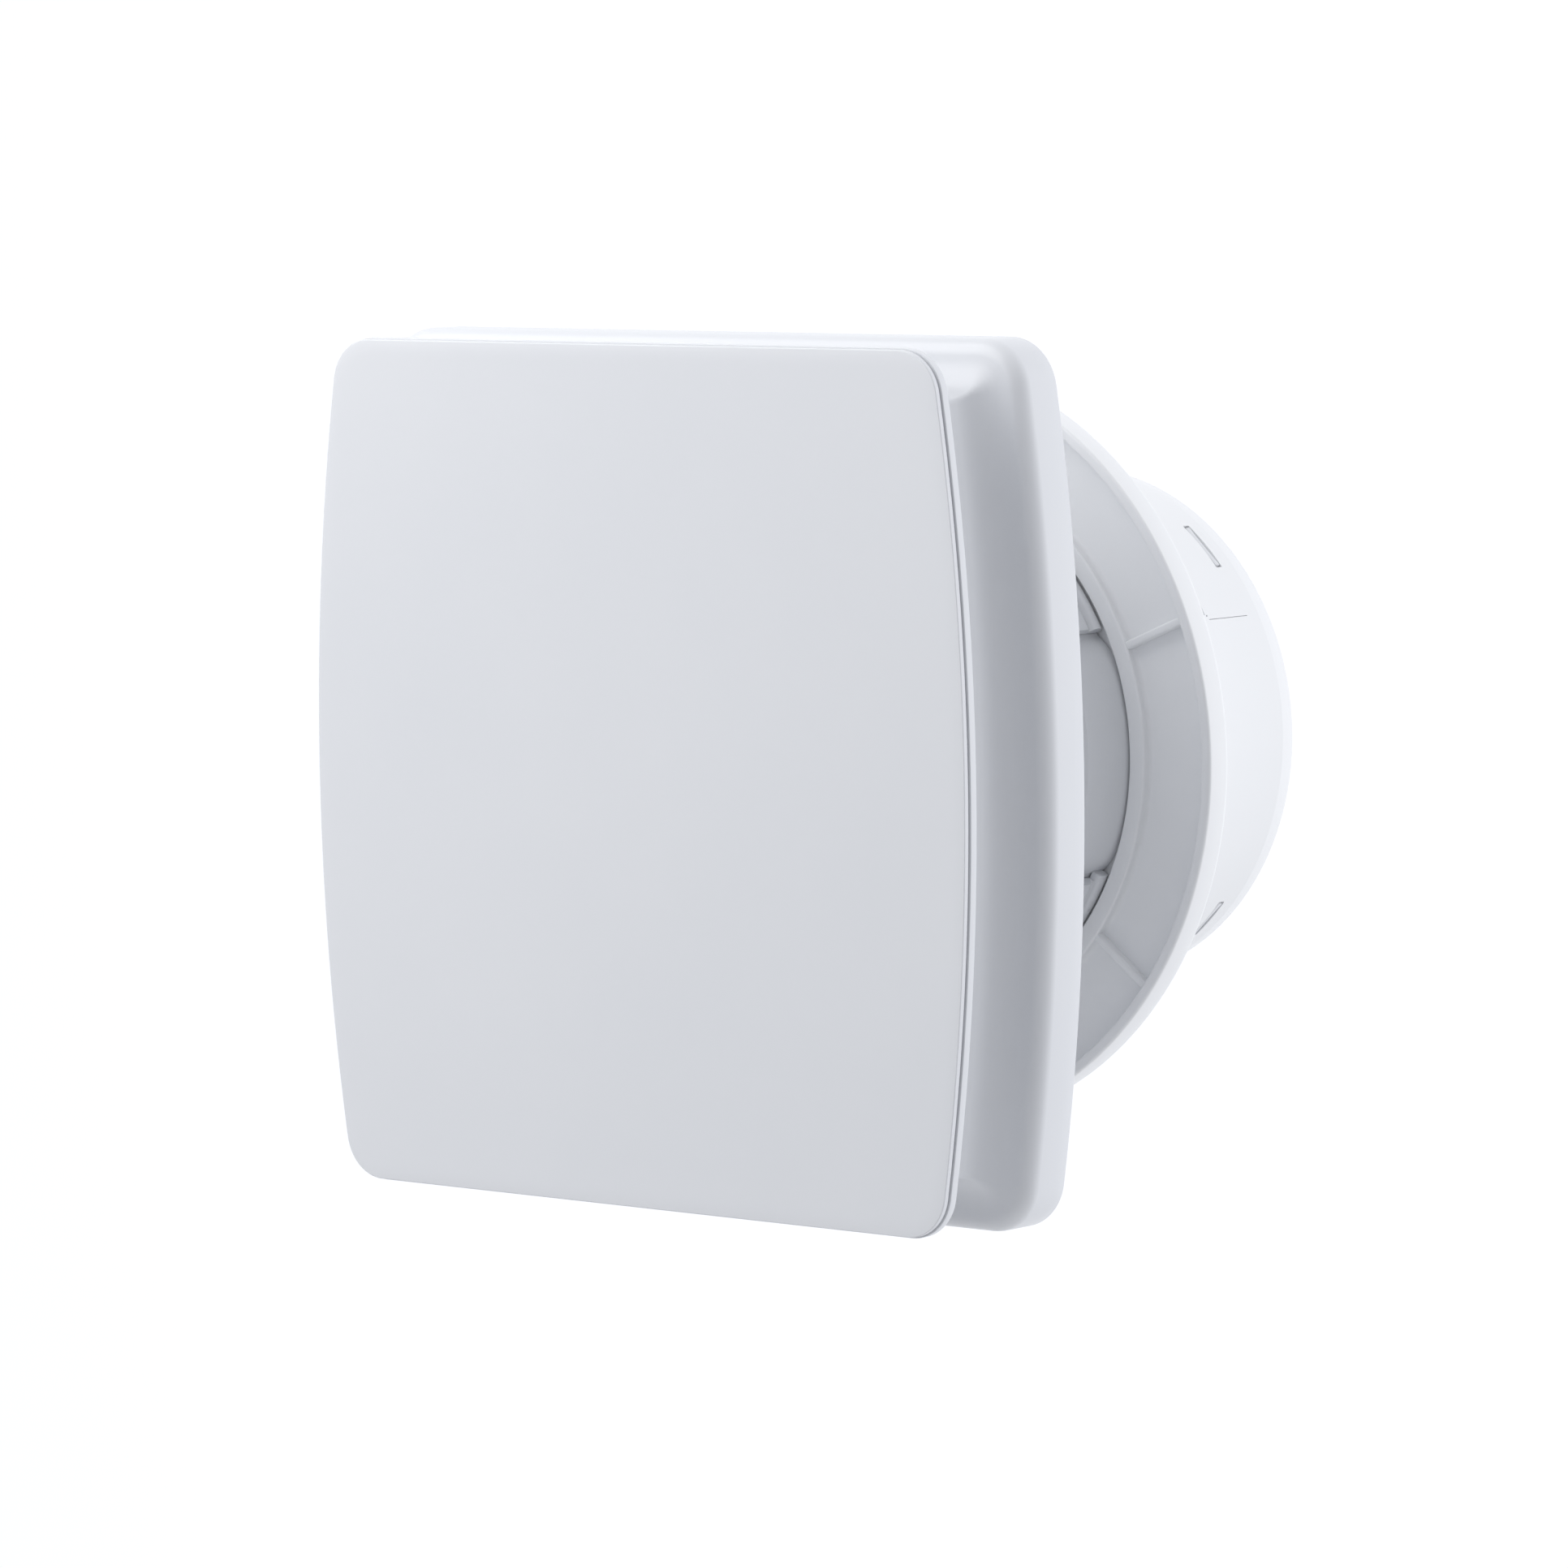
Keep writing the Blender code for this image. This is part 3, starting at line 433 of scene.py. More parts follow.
def carve(obj, bm):
    """Cuts the shapes in bm out of the piece."""
    knife = add_object("knife", mesh_of(bm))
    step = obj.modifiers.new("cut", "BOOLEAN")
    step.operation = "DIFFERENCE"
    step.solver = "EXACT"
    step.use_self = True
    step.object = knife
    cut = evaluated_mesh(obj)
    obj.modifiers.clear()
    obj.data = cut
    bpy.data.objects.remove(knife)
    shade(cut)


# ---------------- materials


def new_material(name, roughness, metallic=0.0, **fixed):
    """A material whose fixed shader values are set on the shader itself."""
    mat = bpy.data.materials.new(name)
    mat.use_nodes = True
    shader = mat.node_tree.nodes["Principled BSDF"]
    shader.inputs["Roughness"].default_value = roughness
    shader.inputs["Metallic"].default_value = metallic
    for key, value in fixed.items():
        shader.inputs[key.replace("_", " ")].default_value = value
    return mat


def place(mat, stretch=(1.0, 1.0, 1.0)):
    """Object coordinates, stretched along the axes."""
    nodes = mat.node_tree.nodes
    where = nodes.new("ShaderNodeTexCoord")
    mapping = nodes.new("ShaderNodeMapping")
    mapping.inputs["Scale"].default_value = stretch
    mat.node_tree.links.new(where.outputs["Object"], mapping.inputs["Vector"])
    return mapping.outputs["Vector"]


def noise(mat, where, scale, detail=3.0, roughness=0.55):
    node = mat.node_tree.nodes.new("ShaderNodeTexNoise")
    node.inputs["Scale"].default_value = scale
    node.inputs["Detail"].default_value = detail
    node.inputs["Roughness"].default_value = roughness
    mat.node_tree.links.new(where, node.inputs["Vector"])
    return node.outputs["Fac"]


def ramp(mat, value, low, high, start=0.3, end=0.7):
    """Maps a 0 to 1 pattern to a span of numbers or of colours."""
    nodes = mat.node_tree.nodes
    node = nodes.new("ShaderNodeMapRange")
    node.inputs["From Min"].default_value = start
    node.inputs["From Max"].default_value = end
    mat.node_tree.links.new(value, node.inputs["Value"])
    if isinstance(low, tuple):
        mix = nodes.new("ShaderNodeMix")
        mix.data_type = "RGBA"
        mix.inputs["A"].default_value = (*low, 1.0)
        mix.inputs["B"].default_value = (*high, 1.0)
        mat.node_tree.links.new(node.outputs["Result"], mix.inputs["Factor"])
        return mix.outputs["Result"]
    node.inputs["To Min"].default_value = low
    node.inputs["To Max"].default_value = high
    return node.outputs["Result"]


def combine(mat, first, second, weight):
    """first plus weight times second."""
    node = mat.node_tree.nodes.new("ShaderNodeMath")
    node.operation = "MULTIPLY_ADD"
    mat.node_tree.links.new(second, node.inputs[0])
    node.inputs[1].default_value = weight
    mat.node_tree.links.new(first, node.inputs[2])
    return node.outputs["Value"]


def connect(mat, socket, output):
    mat.node_tree.links.new(output, mat.node_tree.nodes["Principled BSDF"].inputs[socket])


def bump(mat, height, strength, distance):
    node = mat.node_tree.nodes.new("ShaderNodeBump")
    node.inputs["Strength"].default_value = strength
    node.inputs["Distance"].default_value = distance
    mat.node_tree.links.new(height, node.inputs["Height"])
    connect(mat, "Normal", node.outputs["Normal"])


def moulded_plastic(name, light, dark, gloss, grain, grain_scale):
    """Moulded plastic: slow flow marks in its colour and gloss, and a fine skin on its surface."""
    mat = new_material(name, gloss, **{"IOR": 1.53, "Coat_Weight": 0.12, "Coat_Roughness": 0.12})
    where = place(mat)
    flow = noise(mat, where, 14.0, 3.0)
    cloud = noise(mat, where, 55.0, 4.0)
    skin_grain = noise(mat, where, grain_scale, 2.0, 0.6)
    ripple = noise(mat, where, 160.0, 2.0)
    marks = combine(mat, flow, cloud, 0.15)
    polish = combine(mat, flow, skin_grain, 0.4)
    connect(mat, "Base Color", ramp(mat, marks, dark, light, 0.4, 0.75))
    connect(mat, "Roughness", ramp(mat, polish, gloss - 0.03, gloss + 0.05, 0.4, 1.0))
    bump(mat, combine(mat, skin_grain, ripple, 0.3), grain, 0.0001)
    return mat


def brushed_metal(name, light, dark, gloss, stretch, scale):
    """Bare metal with fine drawn or turned lines."""
    mat = new_material(name, gloss, 1.0)
    lines = noise(mat, place(mat, stretch), scale, 4.0)
    stain = noise(mat, place(mat), 120.0, 3.0)
    connect(mat, "Base Color", ramp(mat, combine(mat, lines, stain, 0.5), dark, light, 0.5, 1.0))
    connect(mat, "Roughness", ramp(mat, stain, gloss - 0.05, gloss + 0.1))
    bump(mat, lines, 0.25, 0.00005)
    return mat


def banded(name, light, dark, gloss, metallic, axis, bands):
    """Stacked sheet or wound wire: even bands across one axis."""
    mat = new_material(name, gloss, metallic)
    wave = mat.node_tree.nodes.new("ShaderNodeTexWave")
    wave.bands_direction = axis
    wave.inputs["Scale"].default_value = bands
    wave.inputs["Distortion"].default_value = 0.4
    wave.inputs["Detail Scale"].default_value = 30.0
    mat.node_tree.links.new(place(mat), wave.inputs["Vector"])
    stain = noise(mat, place(mat), 200.0, 3.0)
    stripes = combine(mat, wave.outputs["Fac"], stain, 0.4)
    connect(mat, "Base Color", ramp(mat, stripes, dark, light, 0.1, 1.1))
    connect(mat, "Roughness", ramp(mat, stain, gloss - 0.05, gloss + 0.1))
    bump(mat, wave.outputs["Fac"], 0.7, 0.0002)
    return mat


GLOSS_WHITE = moulded_plastic(
    "gloss_white_abs", (0.745, 0.757, 0.784), (0.733, 0.747, 0.776), 0.36, 0.03, 2600.0
)
SATIN_WHITE = moulded_plastic(
    "satin_white_abs", (0.73, 0.742, 0.765), (0.715, 0.728, 0.753), 0.40, 0.16, 1900.0
)
# The duct adaptor's copy of the gloss white, made lighter: its extra lightness is painted light that
# brightens the flange ring, which lies in the frame's shade.
PAINTED_LIGHT_WHITE = moulded_plastic(
    "gloss_white_abs_painted_light", (0.872, 0.88, 0.893), (0.86, 0.868, 0.882), 0.42, 0.04, 2600.0
)
GREY_PLASTIC = moulded_plastic(
    "grey_nylon", (0.50, 0.51, 0.53), (0.44, 0.45, 0.47), 0.48, 0.30, 1500.0
)
STEEL = brushed_metal("zinc_steel", (0.68, 0.68, 0.69), (0.5, 0.5, 0.52), 0.28, (1.0, 12.0, 1.0), 300.0)
BRONZE = brushed_metal("sintered_bronze", (0.6, 0.44, 0.26), (0.42, 0.3, 0.16), 0.42, (1.0, 1.0, 1.0), 1800.0)
BRASS = brushed_metal("turned_brass", (0.8, 0.64, 0.32), (0.62, 0.47, 0.2), 0.26, (1.0, 10.0, 1.0), 500.0)
LAMINATION = banded("laminated_steel", (0.42, 0.43, 0.46), (0.16, 0.16, 0.18), 0.42, 0.9, "Y", 320.0)
COPPER = banded("enamelled_copper", (0.62, 0.26, 0.1), (0.28, 0.09, 0.03), 0.3, 0.9, "Y", 560.0)


# ---------------- front panel


def make_panel_face():
    bm = bmesh.new()
    corners = [
        (3.0, FACE_BACK, 0.0),
        (FACE_INSET, FACE_BACK, 0.1),
        (FACE_INSET, FACE_FRONT, 0.2),
        (3.0, FACE_FRONT, 0.0),
    ]
    plate(bm, panel_outline, corners, 5)
    piece("front_sheet", bm, GLOSS_WHITE, "front_panel", "gloss_white", "panel_face")


def make_panel_carrier():
    bm = bmesh.new()
    recess = LIP_FRONT + 1.0
    corners = [
        (4.0, LIP_FRONT, 0.0),
        (0.0, LIP_FRONT, 0.12),
        (0.0, LIP_BACK, 0.35),
        (2.0, LIP_BACK, 0.3),
        (2.4, recess, 0.2),
        (6.0, recess, 0.0),
    ]
    plate(bm, panel_outline, corners, 5)
    for x, z in four(POST_X, POST_Z):
        snap_post(bm, recess, x, z)
    rib_y = (recess + LIP_BACK) / 2 - 0.1
    rib_depth = LIP_BACK - recess - 0.1
    for z in (POST_Z, 0.0, -POST_Z):
        bar(bm, (PANEL_TOP_WIDTH - 8.0, rib_depth, 1.2), (0.0, rib_y, z), 0.25)
    for x in (POST_X, -POST_X, 2.2 * POST_X, -2.2 * POST_X):
        bar(bm, (1.2, rib_depth, PANEL_HEIGHT - 8.0), (x, rib_y, 0.0), 0.25)
    piece("panel_tray", bm, GLOSS_WHITE, "front_panel", "gloss_white", "panel_carrier")


def snap_post(bm, root, x, z):
    """A post with a flared root and a waisted ball end."""
    corners = [
        (0.0, POST_END, 0.0),
        (1.6, POST_END, 0.7),
        (POST_R, POST_END - 2.0, 0.8),
        (2.0, POST_END - 4.2, 0.8),
        (2.2, POST_END - 6.0, 1.0),
        (2.4, root + 1.5, 1.0),
        (4.0, root, 0.0),
        (0.0, root, 0.0),
    ]
    lathe(bm, rounded(corners, 4, closed=False), 32, x, z, ring=False)


# ---------------- wall frame


def frame_section():
    """(inset, y) round the wall of the frame: rim, fillet, cove and neck outside, and their backs inside."""
    shelf = -RIM_DEPTH - RIM_FILLET
    cove_end = shelf - COVE_DEPTH
    front = DECK_FRONT - 0.2
    points = rounded([(1.0, 0.0, 0.0), (0.0, 0.0, 0.35), (0.0, -3.0, 0.0)], 4, closed=False)
    for k in range(9):
        x, y = polar(RIM_FILLET, 90.0 * k / 8)
        points.append((RIM_FILLET - x, -RIM_DEPTH - y))
    for k in range(1, 13):
        x, y = polar(1.0, 90.0 * k / 12)
        points.append((RIM_FILLET + COVE_WIDTH * y, shelf - COVE_DEPTH * (1.0 - x)))
    inner = NECK_INSET + WALL
    inside = [
        (NECK_INSET + 0.3, cove_end - 2.0, 0.0),
        (NECK_INSET, front, 0.7),
        (inner, front, 0.3),
        (inner, cove_end + 1.0, 1.5),
        (RIM_FILLET + WALL, shelf + WALL, 2.0),
        (WALL, -RIM_DEPTH + 1.0, 2.0),
        (WALL, 0.0, 0.3),
        (1.2, 0.0, 0.0),
    ]
    return points + rounded(inside, 5, closed=False)


def make_frame():
    bm = bmesh.new()
    sweep_outline(bm, frame_outline, frame_section())
    holes = [circle(WALL_SCREW_HOLE_R, 28, x, z) for x, z in four(WALL_SCREW_X, WALL_SCREW_Z)]
    holes += [circle(SOCKET_R, 28, x, z) for x, z in four(POST_X, POST_Z)]
    edge = frame_outline(NECK_INSET + WALL / 2)
    slab(bm, [edge, circle(INLET_R + 2.0, 120)] + holes, (DECK_FRONT, DECK_BACK))
    inlet_ring(bm)
    frame_bosses(bm)
    frame_ribs(bm)
    clamp_base(bm)
    piece("wall_frame", bm, GLOSS_WHITE, "housing", "gloss_white", "front_frame")


def inlet_ring(bm):
    corners = [
        (INLET_OUTER_R, INLET_BACK, 0.4),
        (INLET_OUTER_R, DECK_FRONT - 0.6, 1.6),
        (INLET_R, DECK_FRONT - 0.6, 2.2),
        (INLET_R, INLET_BACK, 0.4),
    ]
    lathe(bm, rounded(corners, 8), 180)


def frame_bosses(bm):
    root = DECK_BACK - 0.5
    for x, z in four(WALL_SCREW_X, WALL_SCREW_Z):
        tube(bm, (WALL_SCREW_HOLE_R, 4.5), (root, -0.5), x, z)
        tube(bm, (4.2, 5.2), (DECK_FRONT - 0.35, DECK_FRONT + 0.4), x, z, 0.2)
        side = math.copysign(1.0, x)
        bar(bm, (6.0, 11.0, 1.2), (x + side * 6.2, root + 5.6, z), 0.3)
    for x, z in four(POST_X, POST_Z):
        tube(bm, (SOCKET_R, 4.6), (root, POST_END + 0.5), x, z)
    for angle in TUBE_SCREW_ANGLES:
        x, z = polar(TUBE_SCREW_R, angle)
        tube(bm, (1.4, 3.4), (root, INLET_BACK), x, z)


def frame_ribs(bm):
    """Stiffening ribs on the back of the deck: long ones to the neck, and short ones round the inlet ring."""
    depth = 4.6
    y = DECK_BACK + depth / 2 - 0.3
    across = 16.5
    corner = 36.0
    long_ribs = ((0.0, across), (180.0, across), (45.0, corner), (135.0, corner), (225.0, corner))
    for angle, length in long_ribs:
        middle = INLET_OUTER_R - 0.4 + length / 2
        bar(bm, (length, depth, 1.3), (middle, y, 0.0), 0.3, angle)
    for angle in (25.0, 65.0, 115.0, 155.0, 205.0, 245.0, 335.0):
        bar(bm, (8.0, 3.2, 1.2), (INLET_OUTER_R + 3.6, y - 0.7, 0.0), 0.3, angle)
    bar(bm, (1.3, depth, 12.0), (0.0, y, -60.6), 0.3)


def clamp_base(bm):
    width = size_of(CLAMP_LOW, CLAMP_HIGH)[0]
    depth = CLAMP_LOW[1] - 0.3 - DECK_BACK + 0.5
    x, _, z = centre_of(CLAMP_LOW, CLAMP_HIGH)
    bar(bm, (width, depth, 4.0), (x, DECK_BACK - 0.5 + depth / 2, z), 0.4)


# ---------------- tube and sleeves


def make_tube():
    bm = bmesh.new()
    inner, outer = TUBE_R
    front = TUBE_LOW[1]
    back = TUBE_HIGH[1]
    corners = [
        (outer, back, 0.15),
        (outer, front + 2.0, 0.8),
        (TUBE_FLANGE_R, front + 2.0, 0.4),
        (TUBE_FLANGE_R, front, 0.3),
        (inner, front, 0.6),
        (inner, back, 0.5),
    ]
    lathe(bm, rounded(corners, 5), 180)
    for angle in TUBE_SCREW_ANGLES:
        x, z = polar(TUBE_SCREW_R, angle)
        tube(bm, (2.6, 3.3), (front + 1.6, front + 2.4), x, z, 0.15)
    for turn in (0.0, 180.0):
        window_flare(bm, turn, back)
    piece("duct_tube", bm, SATIN_WHITE, "housing", "satin_white", "fan_tube")


def window_flare(bm, turn, back):
    """The tube's end swells towards the collar in a window, and dies away beside the sleeves."""
    steps = 40
    span = WINDOW_HALF_ANGLE - 0.5
    root = TUBE_R[1] - 0.3
    least = 0.2
    loops = []
    for k in range(steps + 1):
        t = 2.0 * k / steps - 1.0
        crest = root + least + (SLEEVE_R[1] - 0.3 - root) * (1.0 - t**6)
        c, s = polar(1.0, turn + t * span)
        line = [(root, back), (root, FLARE_Y[0]), (crest, FLARE_Y[1]), (crest, back)]
        loops.append([(r * c, y, r * s) for r, y in line])
    skin(bm, loops, caps=True)


def sleeve_profile():
    """(radius, y) of a sleeve: a plain wall that swells into two round beads with a groove between."""
    inner, outer = SLEEVE_R
    front = SLEEVE_LOW[1]
    back = SLEEVE_HIGH[1]
    plain = outer - 0.9
    groove = back - SLEEVE_GROOVE
    corners = [
        (inner, back, 0.2),
        (inner, front, 0.2),
        (plain, front, 0.5),
        (plain, groove - 8.0, 4.0),
        (outer, groove - 4.0, 3.0),
        (outer, groove - 1.2, 1.4),
        (outer - 1.5, groove, 0.1),
        (outer, groove + 1.0, 1.2),
        (outer, back - 1.0, 1.0),
        (outer - 1.2, back, 0.4),
    ]
    return rounded(corners, 5)


def strip_profile():
    """(radius, y) of the bead that runs on past the ends of the lower sleeve."""
    inner, outer = SLEEVE_R
    back = SLEEVE_HIGH[1]
    front = back - SLEEVE_GROOVE + 0.5
    return rounded([(inner, back, 0.2), (inner, front, 0.2), (outer, front, 0.9), (outer, back, 1.2)], 4)


def make_sleeves():
    half = 90.0 - WINDOW_HALF_ANGLE
    strip_half = half + 1.6
    upper = bmesh.new()
    sector(upper, sleeve_profile(), 90.0 - half, 90.0 + half, 90)
    piece("sleeve_upper", upper, SATIN_WHITE, "housing", "satin_white", "tube_sleeve_upper")
    lower = bmesh.new()
    sector(lower, sleeve_profile(), 270.0 - half, 270.0 + half, 90)
    sector(lower, strip_profile(), 270.0 - strip_half, 270.0 + strip_half, 90)
    piece("sleeve_lower", lower, SATIN_WHITE, "housing", "satin_white", "tube_sleeve_lower")


# ---------------- duct adaptor


def adaptor_section():
    plate_front, plate_back = PLATE_Y
    inner, outer = SPIGOT_R
    corners = [
        (LEAD_IN_R, SPIGOT_END, 0.5),
        (outer, LEAD_IN_Y, 0.4),
        (outer, plate_back, 2.6),
        (FLANGE_R, plate_back, 1.5),
        (FLANGE_R, FLANGE_FRONT, 0.6),
        (FLANGE_R - FLANGE_LIP, FLANGE_FRONT, 0.6),
        (FLANGE_R - FLANGE_LIP, plate_front, 0.9),
        (COLLAR_R[1], plate_front, 0.7),
        (COLLAR_R[1], COLLAR_FRONT, 0.5),
        (COLLAR_R[0], COLLAR_FRONT, 0.4),
        (COLLAR_R[0], plate_front, 0.2),
        (inner, plate_front, 0.4),
        (inner, SPIGOT_END, 0.5),
    ]
    return rounded(corners, 6)


def make_adaptor():
    bm = bmesh.new()
    lathe(bm, adaptor_section(), 240)
    # The adaptor shell wears the lighter copy of the gloss white, whose extra lightness is painted light on
    # the flange ring.
    adaptor = piece("duct_adaptor_shell", bm, PAINTED_LIGHT_WHITE, "housing", "gloss_white", "duct_adaptor")
    carve(adaptor, snap_windows())
    carve(adaptor, tongue_outline())
    make_adaptor_ribs()


def snap_windows():
    """Four narrow slots through the spigot's wall, where the shutter's hooks catch."""
    bm = bmesh.new()
    centre = (SPIGOT_R[1] - 0.5, sum(SNAP_Y) / 2, 0.0)
    for angle in SNAP_ANGLES:
        bar(bm, (6.0, SNAP_Y[1] - SNAP_Y[0], SNAP_WIDTH), centre, 0.25, angle)
    return bm


def tongue_outline():
    """Thin grooves that outline a sprung tongue beside two of the snap windows."""
    bm = bmesh.new()
    radius = SPIGOT_R[1]
    depth = 0.5
    cross_y = 85.65
    half = 0.19
    side_start = 86.6
    side_length = 12.0
    for turn in (0.0, 180.0):
        across = [
            (radius - depth, cross_y - half),
            (radius + 1.0, cross_y - half),
            (radius + 1.0, cross_y + half),
            (radius - depth, cross_y + half),
        ]
        sector(bm, across, turn + 28.4, turn + 35.7, 8)
        bar(bm, (2 * depth, side_length, 0.14), (radius, side_start + side_length / 2, 0.0), 0.0, turn + 27.3)
        bar(bm, (2 * depth, 0.4, 0.3), (radius, side_start - 0.3, 0.0), 0.0, turn + 28.2)
    return bm


def make_adaptor_ribs():
    """Thin radial ribs across the flange ring, and the nubs beside the snap windows."""
    bm = bmesh.new()
    low = COLLAR_R[1] - 0.2
    high = FLANGE_R - FLANGE_LIP + 0.6
    front = COLLAR_FRONT + 0.2
    depth = PLATE_Y[0] + 0.8 - front
    for k in range(RIB_COUNT):
        angle = RIB_FIRST_ANGLE + 360.0 * k / RIB_COUNT
        bar(bm, (high - low, depth, 1.6), ((low + high) / 2, front + depth / 2, 0.0), 0.4, angle, 4)
    for angle in SNAP_ANGLES[1::2]:
        bar(bm, (1.0, 1.0, 0.9), (SPIGOT_R[1] + 0.1, SNAP_Y[0] + 0.6, 0.0), 0.35, angle - 4.7, 3)
    obj = add_object("duct_adaptor_ribs", mesh_of(bm))
    # The ribs wear the same lighter copy of the gloss white, with painted light in its extra lightness.
    obj.data.materials.append(PAINTED_LIGHT_WHITE)
    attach(obj, "housing")


# ---------------- non-return shutter


def make_shutter_sleeve():
    bm = bmesh.new()
    front, back = SHUTTER_LOW[1], SHUTTER_HIGH[1]
    inner, outer = SHUTTER_R
    corners = [
        (outer, back, 0.4),
        (outer, front, 0.4),
        (SEAT_R, front, 0.6),
        (SEAT_R, SEAT_BACK, 0.3),
        (inner, SEAT_BACK, 0.3),
        (inner, back, 0.4),
    ]
    lathe(bm, rounded(corners, 4), 150)
    bar(bm, (5.0, 2.2, 2 * SEAT_R + 1.5), (0.0, (front + SEAT_BACK) / 2, 0.0), 0.6, segments=3)
    for side in (1, -1):
        bar(bm, (6.0, 8.3, 5.0), (0.0, PIN_Y - 0.45, side * 44.4), 0.8, segments=3)
    for angle in SNAP_ANGLES:
        bar(bm, (2.6, 1.3, 10.0), (outer + 1.0, sum(SNAP_Y) / 2, 0.0), 0.25, angle)
    piece("shutter_body", bm, SATIN_WHITE, "housing", "satin_white", "shutter_sleeve")


def make_shutter_pin():
    bm = bmesh.new()
    half = PIN_HIGH[2]
    peg(bm, PIN_R, (-half, half), bevel=0.3)
    bm.transform(upright(0.0, PIN_Y, 0.0))
    piece("shutter_hinge_pin", bm, STEEL, "housing", "steel", "shutter_pin")


def make_spring():
    """A torsion coil round the pin, with a leg at each end."""
    bm = bmesh.new()
    turns = 9
    steps = 24
    half = 4.4
    radius = 2.4
    points = [(radius, SEAT_BACK + 0.6, -half), (radius, PIN_Y - 0.8, -half)]
    for i in range(turns * steps + 1):
        x, y = polar(radius, 360.0 * i / steps)
        points.append((x, PIN_Y + y, half * (2.0 * i / (turns * steps) - 1.0)))
    points += [(radius, PIN_Y - 0.8, half), (radius, SEAT_BACK + 0.6, half)]
    wire(bm, points, 0.34, 10)
    piece("shutter_torsion_spring", bm, STEEL, "housing", "steel", "shutter_spring")


def flap_outline(inset):
    """The half disc on the +X side, with notches that clear the pin's bosses, inset evenly."""
    radius = FLAP_R - inset
    notch = 8.5 + inset
    angle = math.degrees(math.acos(notch / radius))
    height = 41.2 - inset
    points = [(3.2 + inset, -height), (notch, -height)]
    points += arc(0.0, 0.0, radius, -angle, angle, 60)
    return points + [(notch, height), (3.2 + inset, height)]


def make_flap(name, node, body, side):
    """A ribbed flap with its knuckle: on the pin's upper half for the right flap, and lower for the left."""
    bm = bmesh.new()
    front, back = FLAP_Y
    corners = [(3.0, front, 0.0), (0.0, front, 0.4), (0.0, back, 0.4), (3.0, back, 0.0)]
    plate(bm, flap_outline, corners, 4)
    for z in (-24.0, 0.0, 24.0):
        length = math.sqrt(FLAP_R**2 - z**2) - 8.0
        bar(bm, (length, 0.8, 1.0), (4.5 + length / 2, back + 0.3, z), 0.25)
    bar(bm, (1.0, 0.8, 64.0), (24.0, back + 0.3, 0.0), 0.25)
    low, high = sorted(side * z for z in KNUCKLE_Z)
    bar(bm, (3.4, 1.7, high - low), (3.3, front + 0.85, (low + high) / 2), 0.4)
    knuckle = bmesh.new()
    tube(knuckle, (PIN_R + 0.25, KNUCKLE_R), (low, high), bevel=0.3, steps=32)
    knuckle.transform(upright(0.0, PIN_Y, 0.0))
    if side < 0:
        bm.transform(Matrix.Scale(-1.0, 4, (1.0, 0.0, 0.0)))
    absorb(bm, knuckle)
    piece(name, bm, SATIN_WHITE, body, "satin_white", node)


# ---------------- motor


def make_spider():
    bm = bmesh.new()
    inner, outer = CUP_R
    front, back = CUP_Y
    seat_inner, seat_outer = BUSH_SEAT_R
    seat_front = 42.0
    corners = [
        (outer, back, 1.6),
        (outer, front, 0.3),
        (inner, front, 0.3),
        (inner, back - 1.8, 0.8),
        (seat_outer, back - 1.8, 0.6),
        (seat_outer, seat_front, 0.3),
        (seat_inner, seat_front, 0.3),
        (seat_inner, back - 2.9, 0.2),
        (SHAFT_HOLE_R, back - 2.9, 0.2),
        (SHAFT_HOLE_R, back, 0.5),
    ]
    lathe(bm, rounded(corners, 4), 120)
    tube(bm, (45.0, 46.6), (42.0, 52.0), bevel=0.5, steps=150)
    for k in range(4):
        angle = 45.0 + 90.0 * k
        bar(bm, (23.0, 8.0, 3.0), (34.8, 46.2, 0.0), 1.2, angle, 4)
    for x in (EAR_OFFSET, -EAR_OFFSET):
        tube(bm, (EAR_HOLE_R, EAR_R), (front + 0.1, 26.0), x, 0.0)
    for k in range(12):
        bar(bm, (0.8, 22.0, 1.0), (outer + 0.1, 30.0, 0.0), 0.3, 15.0 + 30.0 * k)
    piece("motor_carrier", bm, SATIN_WHITE, "housing", "satin_white", "motor_spider")


def make_end_cap():
    bm = bmesh.new()
    low, high = node_box("motor_end_cap")
    front = low[1]
    back = front + 2.0
    rim = CUP_R[1] - 0.1
    seat_inner, seat_outer = BUSH_SEAT_R
    corners = [
        (seat_outer, high[1], 0.4),
        (seat_outer, back, 0.6),
        (rim, back, 0.3),
        (rim, front, 0.8),
        (SHAFT_HOLE_R, front, 0.4),
        (SHAFT_HOLE_R, back - 0.3, 0.2),
        (seat_inner, back - 0.3, 0.2),
        (seat_inner, high[1], 0.3),
    ]
    lathe(bm, rounded(corners, 4), 100)
    for x in (EAR_OFFSET, -EAR_OFFSET):
        tube(bm, (EAR_HOLE_R, EAR_R), (front + 0.1, back - 0.1), x, 0.0)
    piece("motor_front_cap", bm, GREY_PLASTIC, "housing", "grey_plastic", "motor_end_cap")


def make_bearings():
    for name, node in (("front_bush", "bearing_front"), ("rear_bush", "bearing_rear")):
        bm = bmesh.new()
        low, high = node_box(node)
        tube(bm, (BORE_R, high[0]), (low[1], high[1]), bevel=0.5, steps=48)
        piece(name, bm, BRONZE, "housing", "bronze", node)


